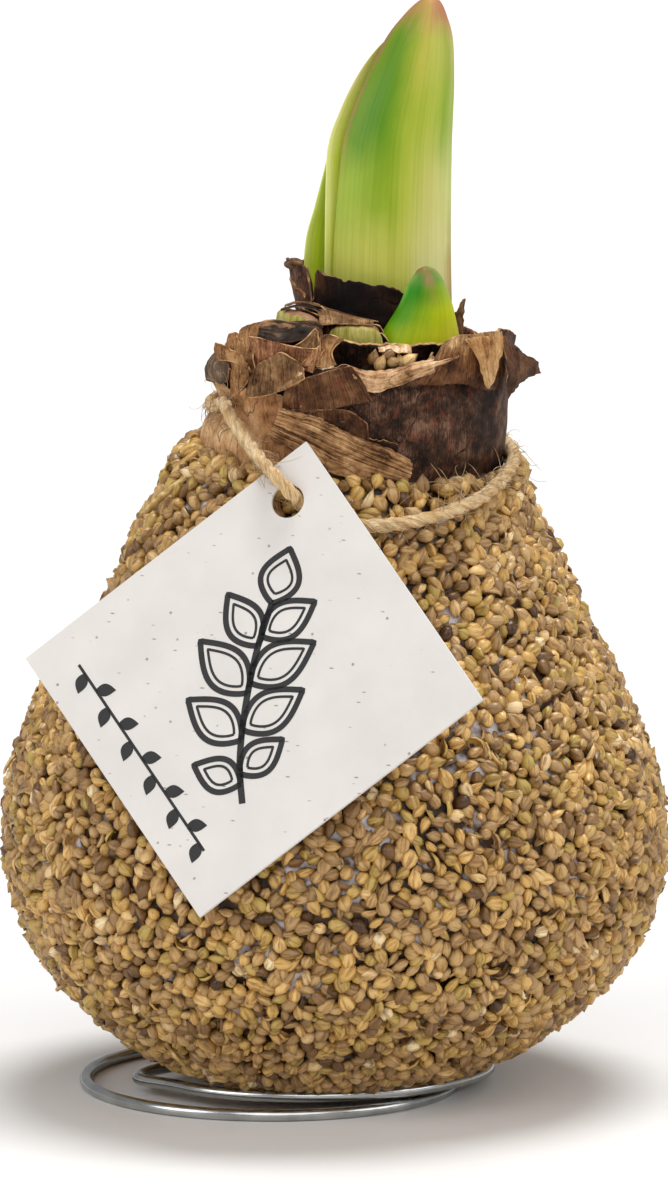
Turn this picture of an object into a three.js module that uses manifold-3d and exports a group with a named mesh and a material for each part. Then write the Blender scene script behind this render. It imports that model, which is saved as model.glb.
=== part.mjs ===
// An amaryllis bulb that flowers without soil or water. The bulb is dipped in wax, rolled in
// millet seed and stands on a coil of galvanised wire. Its neck is bare: dry brown tunics, the
// green stumps of last year's leaves and the new leaves. Jute twine round the neck holds a card tag.
// Millimetres, +Z up, -Y is the front. The wire stands on z = 0, under the middle of the object.
import * as THREE from "three";
import { mergeVertices } from "three/addons/utils/BufferGeometryUtils.js";
import Module from "manifold-3d";

// ---- driving dimensions ----
const SEAT_GAP = 0.3; // between one layer and the next
const SEED_RELIEF = 1.7; // how far a seed stands out of its layer
const SEED_LAYER = 1.2; // the layer that the seeds share
const WAX_THICK = 1.8;
const SEED_PITCH = 6; // from seed to seed along a row
const SEED_ROW = 5.2; // from row to row
const ROUND_SIDES = 32; // round each smooth layer

// Outline of the seed coat, from the middle of its underside to its lip: [radius, height].
const COAT_OUTLINE = [
  [0, 3.3], [20, 3.5], [27.4, 4.7], [34, 7.8], [42.2, 13.7], [49.4, 21.5], [54.3, 34], [55, 44], [52.6, 56.5],
  [47.4, 68.5], [41.6, 77.5], [37.4, 86], [35, 92.4], [31.8, 98], [30.1, 102.5], [28.8, 105.4],
];
const LIP_RADIUS = 25; // where the coat meets the neck
const LIP_HEIGHT = 107.4;
const WAX_TOP = 0.955; // share of the outline that the wax covers

const NECK_LEAN = 3.9; // how far the neck stands to the right of the body
const LIP_TILT = 0.045; // the coat reaches higher on the left of the neck
const NECK_RADIUS = 24.6; // outside of the outer tunic
const TUNIC_THICK = 1;
const TWINE_PINCH = 2.8; // how far the twine pulls the dry skins in, on the left
const THROAT_CENTRE = new THREE.Vector2(1.7, -3); // of the inner tunics, from the neck's own
const THROAT_RADIUS = 17;
const LEDGE_HEIGHT = 116; // where the neck steps in to the throat
const THROAT_TOP = 125.4;

const WIRE_DIAMETER = 2;
const UPPER_TURN = { x: -3.4, y: 0, radius: 29.2 }; // centres of the coil's two turns
const LOWER_TURN = { x: -10.3, y: -2.5, radius: 31 };
const UPPER_TURN_LIFT = 2.4; // how far it stands above the lower one, where it crosses it

const TWINE_DIAMETER = 2.6;
const TAG_SIZE = new THREE.Vector2(55.7, 58.7);
const TAG_THICK = 0.6;
const TAG_HOLE = new THREE.Vector2(6.5, 8.1); // from the tag's upper corner
const TAG_HOLE_DIAMETER = 5.6;
const TAG_TURN = 22; // degrees: faces left of the front
const TAG_LEAN = 23.6; // leans back against the bulb
const TAG_ROLL = -47.5; // its upper right edge runs down at this angle
const TAG_CENTRE = { out: 45, across: 4, up: 75.7 };

const { clamp, degToRad, seededRandom, smoothstep } = THREE.MathUtils;
const spread = (amount) => amount * (2 * seededRandom() - 1);

// ---- closed skins ----

// Triangles between two rings of points, which may have different counts and be turned a little.
function stitch(a, b, faces) {
  const share = (ring, i) => (i + ring.turn) / ring.ids.length;
  const last = (ring) => (ring.ids.length > 1 ? ring.ids.length : 0);
  const id = (ring, i) => ring.ids[i % ring.ids.length];
  let i = 0;
  let j = 0;
  while (i < last(a) || j < last(b)) {
    const goA = j >= last(b) || (i < last(a) && share(a, i + 1) <= share(b, j + 1));
    if (goA) faces.push(id(a, i), id(a, i + 1), id(b, j));
    else faces.push(id(a, i), id(b, j + 1), id(b, j));
    if (goA) i += 1;
    else j += 1;
  }
}

// An end of a flat section: point i faces point n - 1 - i across it.
function ladder(ids, faces, flip) {
  for (let i = 0, n = ids.length; i < n / 2 - 1; i += 1) {
    const quad = [ids[i], ids[i + 1], ids[n - 2 - i], ids[n - 1 - i]];
    const [a, b, c, d] = flip ? quad.reverse() : quad;
    faces.push(a, b, c, a, c, d);
  }
}

// One closed surface over rings of points. A ring of one point is a pole. A tube whose last ring
// meets its first is joined there, and any other open end is closed across.
function skin(rings, { joined = false, turns = [] } = {}) {
  const points = [];
  const faces = [];
  const rows = rings.map((ring, k) => ({
    turn: turns[k] ?? 0,
    ids: ring.map((p) => points.push(p) - 1),
  }));
  rows.slice(1).forEach((row, k) => stitch(rows[k], row, faces));
  if (joined) stitch(rows.at(-1), rows[0], faces);
  else {
    if (rows[0].ids.length > 1) ladder(rows[0].ids, faces, true);
    if (rows.at(-1).ids.length > 1) ladder(rows.at(-1).ids, faces, false);
  }
  return facingOut(points, faces);
}

function facingOut(points, faces) {
  let volume = 0;
  for (let i = 0; i < faces.length; i += 3) {
    const [a, b, c] = faces.slice(i, i + 3).map((k) => points[k]);
    volume += a.dot(new THREE.Vector3().crossVectors(b, c));
  }
  if (volume < 0) for (let i = 0; i < faces.length; i += 3) faces.splice(i, 2, faces[i + 1], faces[i]);
  const geometry = new THREE.BufferGeometry().setFromPoints(points).setIndex(faces);
  geometry.computeVertexNormals();
  return geometry;
}

const wasm = await Module();
wasm.setup();

function solid(geometry) {
  const bare = geometry.clone();
  bare.deleteAttribute("normal");
  bare.deleteAttribute("uv");
  const { attributes, index } = mergeVertices(bare, 1e-4);
  const vertProperties = new Float32Array(attributes.position.array);
  return new wasm.Manifold(new wasm.Mesh({ numProp: 3, vertProperties, triVerts: new Uint32Array(index.array) }));
}

function fused(geometries) {
  const mesh = wasm.Manifold.union(geometries.map(solid)).getMesh();
  const geometry = new THREE.BufferGeometry();
  geometry.setAttribute("position", new THREE.BufferAttribute(new Float32Array(mesh.vertProperties), 3));
  geometry.setIndex(new THREE.BufferAttribute(new Uint32Array(mesh.triVerts), 1));
  geometry.computeVertexNormals();
  return geometry;
}

// A value that changes smoothly round the neck: rows are [degrees, value, ...].
function around(rows, degrees, column = 1) {
  const wrapped = ((degrees % 360) + 360) % 360;
  const sorted = rows.map((row) => [((row[0] % 360) + 360) % 360, row[column]]).sort((a, b) => a[0] - b[0]);
  const next = sorted.findIndex((row) => row[0] > wrapped);
  const [a1, v1] = next === -1 ? [sorted[0][0] + 360, sorted[0][1]] : sorted[next];
  const before = next === -1 ? sorted.length - 1 : (next + sorted.length - 1) % sorted.length;
  const a0 = sorted[before][0] > wrapped ? sorted[before][0] - 360 : sorted[before][0];
  return sorted[before][1] + (v1 - sorted[before][1]) * smoothstep(wrapped, a0, a1);
}

// ---- the body: bulb, wax and seed ----

// Where a point of the round plan lies in the grown bulb. Every layer goes through this, so that
// the layers stay nested: the bulb is a little out of round, its lip tilts and its neck leans.
function grown(radius, degrees, height) {
  const a = degToRad(degrees);
  const pinched = TWINE_PINCH * Math.max(0, Math.cos(a - Math.PI)) ** 3 * Math.exp(-(((height - 115) / 5) ** 2));
  const swell = 1 + 0.01 * Math.sin(2 * a + 0.6) + 0.008 * Math.sin(3 * a + height / 16) - pinched / NECK_RADIUS;
  const x = radius * swell * Math.cos(a);
  const tilted = smoothstep(height, 80, 104) * (1 - smoothstep(height, 108, 117));
  const lean = 0.42 * smoothstep(height, 62, 85) + 0.58 * smoothstep(height, 98, 112);
  return new THREE.Vector3(
    x + NECK_LEAN * lean,
    radius * swell * Math.sin(a),
    height - LIP_TILT * x * tilted,
  );
}

const coatOutline = new THREE.SplineCurve(COAT_OUTLINE.map(([r, z]) => new THREE.Vector2(r, z)));

// A point of the outline at a share of its length, moved inwards square to it.
function outlinePoint(share, inset) {
  const p = coatOutline.getPointAt(share);
  const along = coatOutline.getTangentAt(share);
  return new THREE.Vector2(Math.max(p.x - along.y * inset, 0), p.y + along.x * inset);
}

function ringAt({ x: radius, y: height }, sides = ROUND_SIDES) {
  if (radius < 0.01) return [grown(0, 0, height)];
  return Array.from({ length: sides }, (_, i) => grown(radius, (360 * i) / sides, height));
}

const OUTLINE_ROWS = 13;
const rowsTo = (top, inset) =>
  Array.from({ length: OUTLINE_ROWS + 1 }, (_, i) => outlinePoint((top * i) / OUTLINE_ROWS, inset));

const WAX_INSET = SEED_RELIEF + SEED_LAYER + SEAT_GAP;
const BULB_INSET = WAX_INSET + WAX_THICK + SEAT_GAP;

// The seeds stand in rows, each with a dip between it and its neighbours.
function seedCover() {
  seededRandom(7);
  const length = coatOutline.getLength();
  const rows = 2 * Math.floor(length / SEED_ROW);
  const rings = [ringAt(outlinePoint(0, SEED_RELIEF))];
  const turns = [0];
  let count = 0;
  for (let row = 1; row < rows; row += 1) {
    const share = row / rows;
    const seeds = row % 2 === 1; // a row of seeds, then a row of dips
    if (seeds) count = 2 * Math.max(4, Math.round((Math.PI * outlinePoint(share, 0).x) / (SEED_PITCH / 2) / 2) * 1);
    const turn = (Math.floor(row / 2) % 2) * 1;
    const calm = 1 - smoothstep(share, 0.94, 1); // no seed stands up at the lip
    rings.push(Array.from({ length: count }, (_, i) => {
      const peak = seeds && i % 2 === 0;
      const depth = peak ? spread(0.5) - 0.1 : SEED_RELIEF - 0.2 + spread(0.2);
      const at = outlinePoint(share + (peak ? spread(0.7) / length : 0), depth * calm + 0.6 * (1 - calm));
      const shift = peak ? spread(0.16) : 0;
      return grown(at.x, (360 * (i + turn + shift)) / count, at.y);
    }));
    turns.push(turn);
  }
  rings.push(ringAt(new THREE.Vector2(26.6, LIP_HEIGHT)), ringAt(new THREE.Vector2(LIP_RADIUS, LIP_HEIGHT)));
  rings.push(ringAt(new THREE.Vector2(LIP_RADIUS, LIP_HEIGHT - 1)));
  const inside = rowsTo(WAX_TOP, WAX_INSET - SEAT_GAP).reverse();
  inside[0].y += 2 * SEAT_GAP;
  rings.push(...inside.map((p) => ringAt(p)));
  return skin(rings, { turns });
}

function waxCoat() {
  const outside = rowsTo(WAX_TOP, WAX_INSET);
  const inside = rowsTo(WAX_TOP, WAX_INSET + WAX_THICK).reverse();
  return skin([...outside, ...inside].map((p) => ringAt(p)));
}

// The bulb itself, from its basal plate to the throat that the leaves grow from.
function bulb() {
  const neck = NECK_RADIUS - TUNIC_THICK - 2 * SEAT_GAP;
  const body = rowsTo(WAX_TOP, BULB_INSET).map((p) => ringAt(new THREE.Vector2(p.x, p.y)));
  const sleeve = [107.6, 109.6, 111.4, 113.4, LEDGE_HEIGHT - 0.6].map((z) => ringAt(new THREE.Vector2(neck, z)));
  const throat = [
    [THROAT_RADIUS, LEDGE_HEIGHT], [THROAT_RADIUS, 120], [THROAT_RADIUS, THROAT_TOP - 1.6],
    [THROAT_RADIUS - 1.5, THROAT_TOP], [0, THROAT_TOP],
  ].map(([r, z]) => ringAt(new THREE.Vector2(r, z)).map(inThroat));
  return skin([...body, ...sleeve, ...throat]);
}

function inThroat(point) {
  return point.add(new THREE.Vector3(THROAT_CENTRE.x, THROAT_CENTRE.y, 0));
}

// ---- the neck's dry tunics ----

// A standing skin round the neck. foot, rim and flare are functions of the angle, and share runs
// from the foot to the rim. A skin that goes part of the way round has two torn ends.
function tunic({ inner, thick, foot, rim, flare, from = 0, to = 360, columns, rows, tear, place }) {
  const whole = to - from === 360;
  const sections = Array.from({ length: whole ? columns : columns + 1 }, (_, i) => {
    const degrees = from + ((to - from) * i) / columns;
    const low = foot(degrees);
    const high = rim(degrees) + spread(tear);
    const side = (radius) => Array.from({ length: rows + 1 }, (_, k) => {
      const share = k / rows;
      const outward = flare(degrees) * share ** 3;
      return place(radius + outward, degrees, low + (high - low) * share);
    });
    return [...side(inner + thick), ...side(inner).reverse()];
  });
  return skin(sections, { joined: whole });
}

// [degrees, rim height, flare]: high at the right, where it folds out, and torn low at the front.
const OUTER_RIM = [
  [0, 125.6, 1.2], [22, 123.5, 1], [60, 124, 0.8], [110, 124.5, 0.8], [150, 123, 0.6], [180, 121.2, 0.4],
  [210, 121.6, 0.4], [235, 122.6, 0.3], [253, 123.8, 0.6], [266, 124.6, 1], [278, 121.6, 1.2], [296, 122.8, 1],
  [308, 127, 0.8], [338, 128.2, 1],
];

// The flap that the outer tunic folds out into, over its rim: [degrees, height of its hanging edge,
// how far that edge stands out].
const FLAP_FROM = 304;
const FLAP_TO = 376;
const FLAP_EDGE = [
  [FLAP_FROM, 123.4, 1.8], [318, 120.2, 2], [340, 119.4, 2.4], [350, 119, 3.6], [358, 120.4, 6.2], [366, 121, 3.6],
  [FLAP_TO, 122.4, 2],
];

function outerTunic() {
  seededRandom(11);
  const stands = tunic({
    inner: NECK_RADIUS - TUNIC_THICK, thick: TUNIC_THICK, columns: 48, rows: 5, tear: 0.5, place: grown,
    foot: () => 107.9,
    rim: (d) => around(OUTER_RIM, d),
    flare: (d) => around(OUTER_RIM, d, 2),
  });
  return fused([stands, flap()]);
}

function flap() {
  const columns = 16;
  const sections = Array.from({ length: columns + 1 }, (_, i) => {
    const degrees = FLAP_FROM + ((FLAP_TO - FLAP_FROM) * i) / columns;
    const top = around(OUTER_RIM, degrees) - 0.9;
    const edge = around(FLAP_EDGE, degrees);
    const out = around(FLAP_EDGE, degrees, 2);
    const root = NECK_RADIUS + around(OUTER_RIM, degrees, 2) * 0.6 - 0.7;
    const bulge = [[0, 0], [0.5, 0.12], [0.85, 0.55], [1, 1]];
    const side = (shift) => bulge.map(([o, down]) => (
      grown(root + shift + (out + 1.2 - shift) * o, degrees, top + 0.5 * shift + (edge - top) * down)
    ));
    return [...side(1), ...side(0).reverse()];
  });
  return skin(sections);
}

// The old tunic that peels away on the left: a fan of paper with a ragged rim.
const PEEL_FROM = 150;
const PEEL_TO = 292;
const PEEL_RIM = [
  [PEEL_FROM, 118.5, 0.4], [180, 119.4, 0.2], [215, 119.2, 0.6], [235, 120, 0.8], [248, 121.2, 0.8],
  [262, 118.4, 0.6], [272, 116.4, 0.4], [276, 112.4, 0.4], [PEEL_TO, 110.6, 0.3],
];

function peelingTunic() {
  seededRandom(5);
  return tunic({
    inner: NECK_RADIUS + 2 * SEAT_GAP, thick: 0.8, from: PEEL_FROM, to: PEEL_TO, columns: 28, rows: 5, tear: 0.4,
    place: grown,
    foot: () => 109,
    rim: (d) => around(PEEL_RIM, d),
    flare: (d) => around(PEEL_RIM, d, 2),
  });
}

const throatPlace = (radius, degrees, height) => inThroat(grown(radius, degrees, height));

const MIDDLE_RIM = [
  [0, 125.8], [90, 126.4], [180, 125.6], [205, 127], [228, 128.6], [250, 127.6], [270, 127], [310, 126.6],
];

function middleTunic() {
  seededRandom(23);
  return tunic({
    inner: THROAT_RADIUS + SEAT_GAP, thick: 0.9, columns: 40, rows: 3, tear: 0.5, place: throatPlace,
    foot: () => LEDGE_HEIGHT + SEAT_GAP,
    rim: (d) => around(MIDDLE_RIM, d),
    flare: () => 0.4,
  });
}

// The collar of the innermost tunic, round the foot of the leaves: [degrees, rim height, flare].
const COLLAR = { x: 7.5, y: 1.5, rx: 13.4, ry: 10.2, thick: 0.9 };
const COLLAR_RIM = [
  [0, 132.4, 1.2], [45, 134, 0.8], [90, 135.5, 0.8], [135, 137, 1], [172, 138.6, 1.6], [200, 134.5, 0.6],
  [212, 136.6, 0.5], [240, 134.6, 0.4], [270, 132.4, 0.3], [320, 130.6, 0.3],
];

function collarPlace(radius, degrees, height) {
  const a = degToRad(degrees);
  const out = radius - COLLAR.rx;
  return new THREE.Vector3(
    COLLAR.x + (COLLAR.rx + out) * Math.cos(a),
    COLLAR.y + (COLLAR.ry + out) * Math.sin(a),
    height,
  );
}

function innerCollar() {
  seededRandom(3);
  return tunic({
    inner: COLLAR.rx, thick: COLLAR.thick, columns: 36, rows: 4, tear: 0.35, place: collarPlace,
    foot: () => THROAT_TOP + SEAT_GAP,
    rim: (d) => around(COLLAR_RIM, d),
    flare: (d) => around(COLLAR_RIM, d, 2),
  });
}

// The stump of a leaf that was cut off last year: a thick green arc, domed on top.
function cutScale({ inner, outer, from, to, top }) {
  const sections = 9;
  const rings = Array.from({ length: sections + 1 }, (_, i) => {
    const share = i / sections;
    const degrees = from + (to - from) * share;
    const end = 1 - 0.55 * Math.abs(2 * share - 1) ** 3; // it thins out towards both ends
    const middle = (inner + outer) / 2;
    const half = ((outer - inner) / 2) * end;
    const low = THROAT_TOP + SEAT_GAP;
    const high = low + (top - low) * (0.5 + 0.5 * end);
    return [[-half, low], [-half, high - 0.5], [-half * 0.4, high], [half * 0.4, high], [half, high - 0.7], [half, low]]
      .map(([out, z]) => throatPlace(middle + out, degrees, z));
  });
  return skin(rings);
}

// ---- the leaves ----

// A leaf blade that stands up. rows are [height, middle, half width]; it is arched across by
// arch, towards the front where that is negative, thick in the middle and thin at its margins.
// turn is in degrees and brings its left margin forward.
function leaf({ rows, tip, y, arch, thick, turn = 0, margin = 0.8, columns = 8 }) {
  const middle = new THREE.CatmullRomCurve3(rows.map(([z, x, w]) => new THREE.Vector3(z, x, w)));
  const steps = 11;
  const upright = new THREE.Vector3(0, 0, 1);
  const turned = (across, out) => new THREE.Vector3(across, out, 0).applyAxisAngle(upright, degToRad(turn));
  const rings = Array.from({ length: steps + 1 }, (_, k) => {
    const { x: z, y: x, z: width } = middle.getPoint(k / steps);
    const fullness = clamp(width / rows[0][2], 0, 1) ** 0.7;
    const side = (sign) => Array.from({ length: columns + 1 }, (_, i) => {
      const u = (2 * i) / columns - 1;
      const crown = 1 - u * u;
      const half = (margin + (thick - margin) * crown) * 0.5 * (0.35 + 0.65 * fullness);
      return turned(u * width, arch * crown * fullness + sign * half).add(new THREE.Vector3(x, y, z));
    });
    return [...side(-1), ...side(1).reverse()];
  });
  const [z, x] = tip;
  return skin([...rings, [new THREE.Vector3(x, y + arch * 0.12, z)]]);
}

const LEAF_FOOT = THROAT_TOP + SEAT_GAP;
const FRONT_LEAF = {
  rows: [
    [LEAF_FOOT, 9.6, 10], [140, 9.6, 9.7], [156, 10.3, 9.1], [162, 11.1, 8.5], [168, 12.4, 7.4],
    [175, 14, 5.6], [179, 15, 3.6], [181.4, 15.7, 1.8],
  ],
  tip: [182.4, 16], y: -0.6, arch: -3.6, thick: 3.4,
};
const BACK_LEAF = {
  rows: [
    [LEAF_FOOT, 7.6, 9.3], [151, 7.6, 8.8], [160, 7.8, 8.4], [165, 8.4, 7.2], [169, 9, 5.8], [172.5, 9.5, 4.2],
    [174.8, 9.9, 2.2],
  ],
  tip: [175.8, 10], y: 0.8, arch: 3.4, thick: 2.8,
};
const SIDE_LEAF = {
  rows: [[LEAF_FOOT, 1.6, 7.2], [142.7, 1.5, 7.1], [148.4, 1.2, 6.2], [154.4, 0.6, 4.5], [157.5, 0, 2.8]],
  tip: [159.3, -0.6], y: 5, arch: 2.5, thick: 2, turn: 35, columns: 6,
};
const SMALL_LEAF = {
  rows: [[LEAF_FOOT, 14.2, 6.6], [129.4, 14.5, 5.9], [132.9, 14.8, 4.7], [136.4, 15, 3], [138.2, 15.2, 1.7]],
  tip: [139.2, 15.3], y: -11, arch: -1.2, thick: 5.4, margin: 1.4, columns: 6,
};

// ---- the wire coil ----

// One wire: from under the middle of the bulb it hooks round into the upper turn, which the coat
// rests on, and sinks at the back into the lower turn, which lies on the ground.
const WIRE_HOOK = [[-9, 11, 1.7], [-18.4, 8.6, 1.8], [-26.4, 2.6, 2], [-31.2, -4.2, 2.3], [-32.2, -11.4, 2.6]];
const CROSSING = 300; // degrees, where the upper turn passes over the lower one

function wireRoute() {
  const arc = ({ x, y, radius }, from, to, lift) => {
    const count = Math.round((to - from) / 15);
    return Array.from({ length: count + 1 }, (_, i) => {
      const degrees = from + ((to - from) * i) / count;
      const a = degToRad(degrees);
      return [x + radius * Math.cos(a), y + radius * Math.sin(a), WIRE_DIAMETER / 2 + lift(degrees)];
    });
  };
  const sinking = (degrees) => UPPER_TURN_LIFT * (1 - smoothstep(degrees, CROSSING + 10, CROSSING + 130))
    - 0.5 * (1 - smoothstep(degrees, 215, CROSSING - 15));
  return [...WIRE_HOOK, ...arc(UPPER_TURN, 217, 455, sinking), ...arc(LOWER_TURN, 122, 352, () => 0)];
}

// An even-sided section whose flats, not its corners, lie at the given diameter.
function roundSection(diameter, sides = 8) {
  const radius = diameter / 2 / Math.cos(Math.PI / sides);
  return new THREE.Shape(Array.from({ length: sides }, (_, i) => {
    const a = ((i + 0.5) * 2 * Math.PI) / sides;
    return new THREE.Vector2(radius * Math.cos(a), radius * Math.sin(a));
  }));
}

const smooth = (points) => new THREE.CatmullRomCurve3(points.map((p) => new THREE.Vector3(...p)));

const tube = (curve, diameter, steps) =>
  new THREE.ExtrudeGeometry(roundSection(diameter), { steps, bevelEnabled: false, extrudePath: curve });

// ---- the tag and its twine ----

// The twine's middle line, from the knot at the back, round the left of the neck, through the tag
// from its face, over the shoulder at the front right and back to the knot.
const TWINE_ROUTE = [
  [-2, 27.2, 112.6], [-10, 24.7, 113.4], [-16.8, 18.4, 114.8], [-20.4, 10.4, 116], [-21.6, 1.6, 116.9],
  [-20.8, -7, 116.7], [-18.3, -14.2, 115.2], [-15.8, -20.6, 113], [-13.9, -26.6, 110.5], [-12.2, -31.6, 107.8],
  [-10.2, -33.5, 105.4], [-7.6, -32.5, 103.2], [-5.4, -32.1, 101.4], [-2.2, -32.9, 100], [3.4, -33.7, 99.5],
  [10.6, -32.3, 99.5], [17.5, -28.7, 100.5], [23.8, -23.2, 102.2], [28.3, -15.6, 104.9], [30.6, -6.5, 107.2],
  [30.9, 3, 108.3], [28.4, 12.2, 109.2], [22.8, 20.4, 110.2], [14.8, 25.8, 111.4], [9.2, 27.4, 112.2],
];

// A square card hung by one corner: x runs along its upper right edge, y down its upper left one.
function tag() {
  const { x: width, y: height } = TAG_SIZE;
  const card = new THREE.Shape([[0, 0], [width, 0], [width, height], [0, height]].map((p) => new THREE.Vector2(...p)));
  card.holes.push(new THREE.Path().absarc(TAG_HOLE.x, TAG_HOLE.y, TAG_HOLE_DIAMETER / 2, 0, 2 * Math.PI));
  const geometry = new THREE.ExtrudeGeometry(card, { depth: TAG_THICK, bevelEnabled: false, curveSegments: 24 });
  return geometry.translate(-width / 2, -height / 2, -TAG_THICK / 2);
}

function placeTag(mesh) {
  const turn = degToRad(TAG_TURN);
  const lean = degToRad(TAG_LEAN);
  const roll = degToRad(TAG_ROLL);
  const out = new THREE.Vector3(-Math.sin(turn), -Math.cos(turn), 0);
  const right = new THREE.Vector3(Math.cos(turn), -Math.sin(turn), 0);
  const up = out.clone().multiplyScalar(-Math.sin(lean)).setZ(Math.cos(lean));
  const along = right.clone().multiplyScalar(Math.cos(roll)).addScaledVector(up, Math.sin(roll));
  const down = right.clone().multiplyScalar(Math.sin(roll)).addScaledVector(up, -Math.cos(roll));
  const back = new THREE.Vector3().crossVectors(along, down);
  mesh.quaternion.setFromRotationMatrix(new THREE.Matrix4().makeBasis(along, down, back));
  mesh.position.copy(out).multiplyScalar(TAG_CENTRE.out).addScaledVector(right, TAG_CENTRE.across).setZ(TAG_CENTRE.up);
}

// A tied knot at the back of the neck with its two short ends hanging.
const KNOT = new THREE.Vector3(3.6, 28.2, 112.4);

function knot() {
  const lump = new THREE.TorusKnotGeometry(2.6, 1.25, 40, 6).rotateX(Math.PI / 2);
  const tail = (side) => tube(
    smooth([[side * 2.4, 1, -1.5], [side * 4.6, 3.4, -5.4], [side * 6, 5.8, -11]]),
    TWINE_DIAMETER * 0.9,
    5,
  );
  return fused([lump, tail(1), tail(-1)]);
}

// ---- the object ----

const finish = (color, roughness, metalness = 0) => new THREE.MeshStandardMaterial({ color, roughness, metalness });
const DRY_SKIN = finish(0x5a3d28, 0.75);
const OLD_SKIN = finish(0x8a6440, 0.8);
const LEAF_GREEN = finish(0x93b84a, 0.5);
const TWINE = finish(0xc9a470, 0.95);

const part = new THREE.Group();

function add(name, geometry, material) {
  const mesh = new THREE.Mesh(geometry, material);
  mesh.name = name;
  part.add(mesh);
  return mesh;
}

add("wire_stand", tube(smooth(wireRoute()), WIRE_DIAMETER, 80), finish(0xb4b8bb, 0.32, 1));
add("bulb", bulb(), finish(0x5b402b, 0.75));
add("wax_coat", waxCoat(), finish(0xd9d8da, 0.45));
add("seed_cover", seedCover(), finish(0xa5864e, 0.7));
add("outer_tunic", outerTunic(), DRY_SKIN);
add("peeling_tunic", peelingTunic(), OLD_SKIN);
add("middle_tunic", middleTunic(), OLD_SKIN);
add("inner_collar", innerCollar(), DRY_SKIN);
add("cut_scale_left", cutScale({ inner: 12.2, outer: 15.8, from: 186, to: 232, top: 131.4 }), finish(0xa9b06a, 0.6));
add("cut_scale_front", cutScale({ inner: 9.6, outer: 13, from: 236, to: 284, top: 130.2 }), finish(0x9bab62, 0.6));
add("front_leaf", leaf(FRONT_LEAF), LEAF_GREEN);
add("back_leaf", leaf(BACK_LEAF), LEAF_GREEN);
add("side_leaf", leaf(SIDE_LEAF), LEAF_GREEN);
add("small_leaf", leaf(SMALL_LEAF), finish(0x5faa28, 0.45));
placeTag(add("tag", tag(), finish(0xebe7e2, 0.85)));
add("twine", tube(smooth(TWINE_ROUTE), TWINE_DIAMETER, 70), TWINE);
add("twine_knot", knot(), TWINE).position.copy(KNOT);

// The origin is the middle of the footprint, on the ground, without the twine and its tag.
part.updateMatrixWorld(true);
const footprint = new THREE.Box3();
const hung = ["tag", "twine", "twine_knot"];
part.children.filter((mesh) => !hung.includes(mesh.name)).forEach((mesh) => footprint.expandByObject(mesh, true));
const middle = footprint.getCenter(new THREE.Vector3());
part.children.forEach((mesh) => mesh.position.sub(middle.clone().setZ(0)));

export default part;
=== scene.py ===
import bisect
import math
import random
from functools import partial

import bmesh
import bpy
from mathutils import Matrix, Vector, noise


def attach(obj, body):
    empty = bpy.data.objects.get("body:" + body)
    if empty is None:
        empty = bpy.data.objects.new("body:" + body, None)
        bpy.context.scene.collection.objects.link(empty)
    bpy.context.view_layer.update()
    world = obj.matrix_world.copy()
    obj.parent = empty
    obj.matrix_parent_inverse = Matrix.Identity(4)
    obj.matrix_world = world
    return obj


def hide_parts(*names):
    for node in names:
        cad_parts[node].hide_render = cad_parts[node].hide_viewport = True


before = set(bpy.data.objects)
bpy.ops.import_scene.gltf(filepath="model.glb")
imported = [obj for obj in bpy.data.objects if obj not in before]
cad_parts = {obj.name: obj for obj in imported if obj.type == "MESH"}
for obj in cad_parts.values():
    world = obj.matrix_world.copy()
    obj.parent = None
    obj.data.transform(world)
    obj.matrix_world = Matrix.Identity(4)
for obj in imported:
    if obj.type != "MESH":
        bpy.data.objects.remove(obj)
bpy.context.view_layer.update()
print("frame loaded with", len(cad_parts), "nodes")

# Shapes are made in millimetres round the middle of the bulb, then brought to the frame, in metres.
mm = 0.001
frameShift = Vector((-0.297, -0.433, 0))


# small helpers for numbers and lines
def smoothStep(value, low, high):
    share = min(max((value - low) / (high - low), 0), 1)
    return share * share * (3 - 2 * share)


def mix(a, b, share):
    return a + (b - a) * share


def around(rows, degrees, column=1):  # a value that changes smoothly round the neck
    wrapped = degrees % 360
    known = sorted((row[0] % 360, row[column]) for row in rows)
    known = [(known[-1][0] - 360, known[-1][1])] + known + [(known[0][0] + 360, known[0][1])]
    at = bisect.bisect_right([degree for degree, _ in known], wrapped)
    (low, before), (high, after) = known[at - 1], known[at]
    return mix(before, after, smoothStep(wrapped, low, high))


def curveAt(points, share):  # a smooth line through points, or through rows of numbers
    count = len(points) - 1
    at = min(max(share, 0), 1) * count
    i = min(int(at), count - 1)
    t = at - i
    before, start, end, after = (points[min(max(k, 0), count)] for k in range(i - 1, i + 3))
    return [
        0.5 * (2 * b + (c - a) * t + (2 * a - 5 * b + 4 * c - d) * t * t + (3 * b - a - 3 * c + d) * t ** 3)
        for a, b, c, d in zip(before, start, end, after)
    ]


def evenLine(points, steps):  # the same line in steps of equal length
    fine = [Vector(curveAt(points, k / (steps * 8))) for k in range(steps * 8 + 1)]
    walked = [0]
    for a, b in zip(fine, fine[1:]):
        walked.append(walked[-1] + (b - a).length)
    line = []
    for k in range(steps + 1):
        goal = walked[-1] * k / steps
        i = min(max(bisect.bisect_left(walked, goal), 1), len(fine) - 1)
        share = (goal - walked[i - 1]) / max(walked[i] - walked[i - 1], 1e-9)
        line.append(fine[i - 1].lerp(fine[i], share))
    return line, walked[-1]


def rough(point, size, seed=0):  # smooth noise from -1 to 1, with lumps of that size
    return noise.noise(Vector(point) / size + Vector((seed * 7.3, seed * 3.1, seed * 5.7)))


# colours and material nodes
def colour(code):  # an sRGB hex value, made linear
    parts = [int(code[i:i + 2], 16) / 255 for i in (1, 3, 5)]
    return [p / 12.92 if p <= 0.04045 else ((p + 0.055) / 1.055) ** 2.4 for p in parts] + [1]


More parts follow.
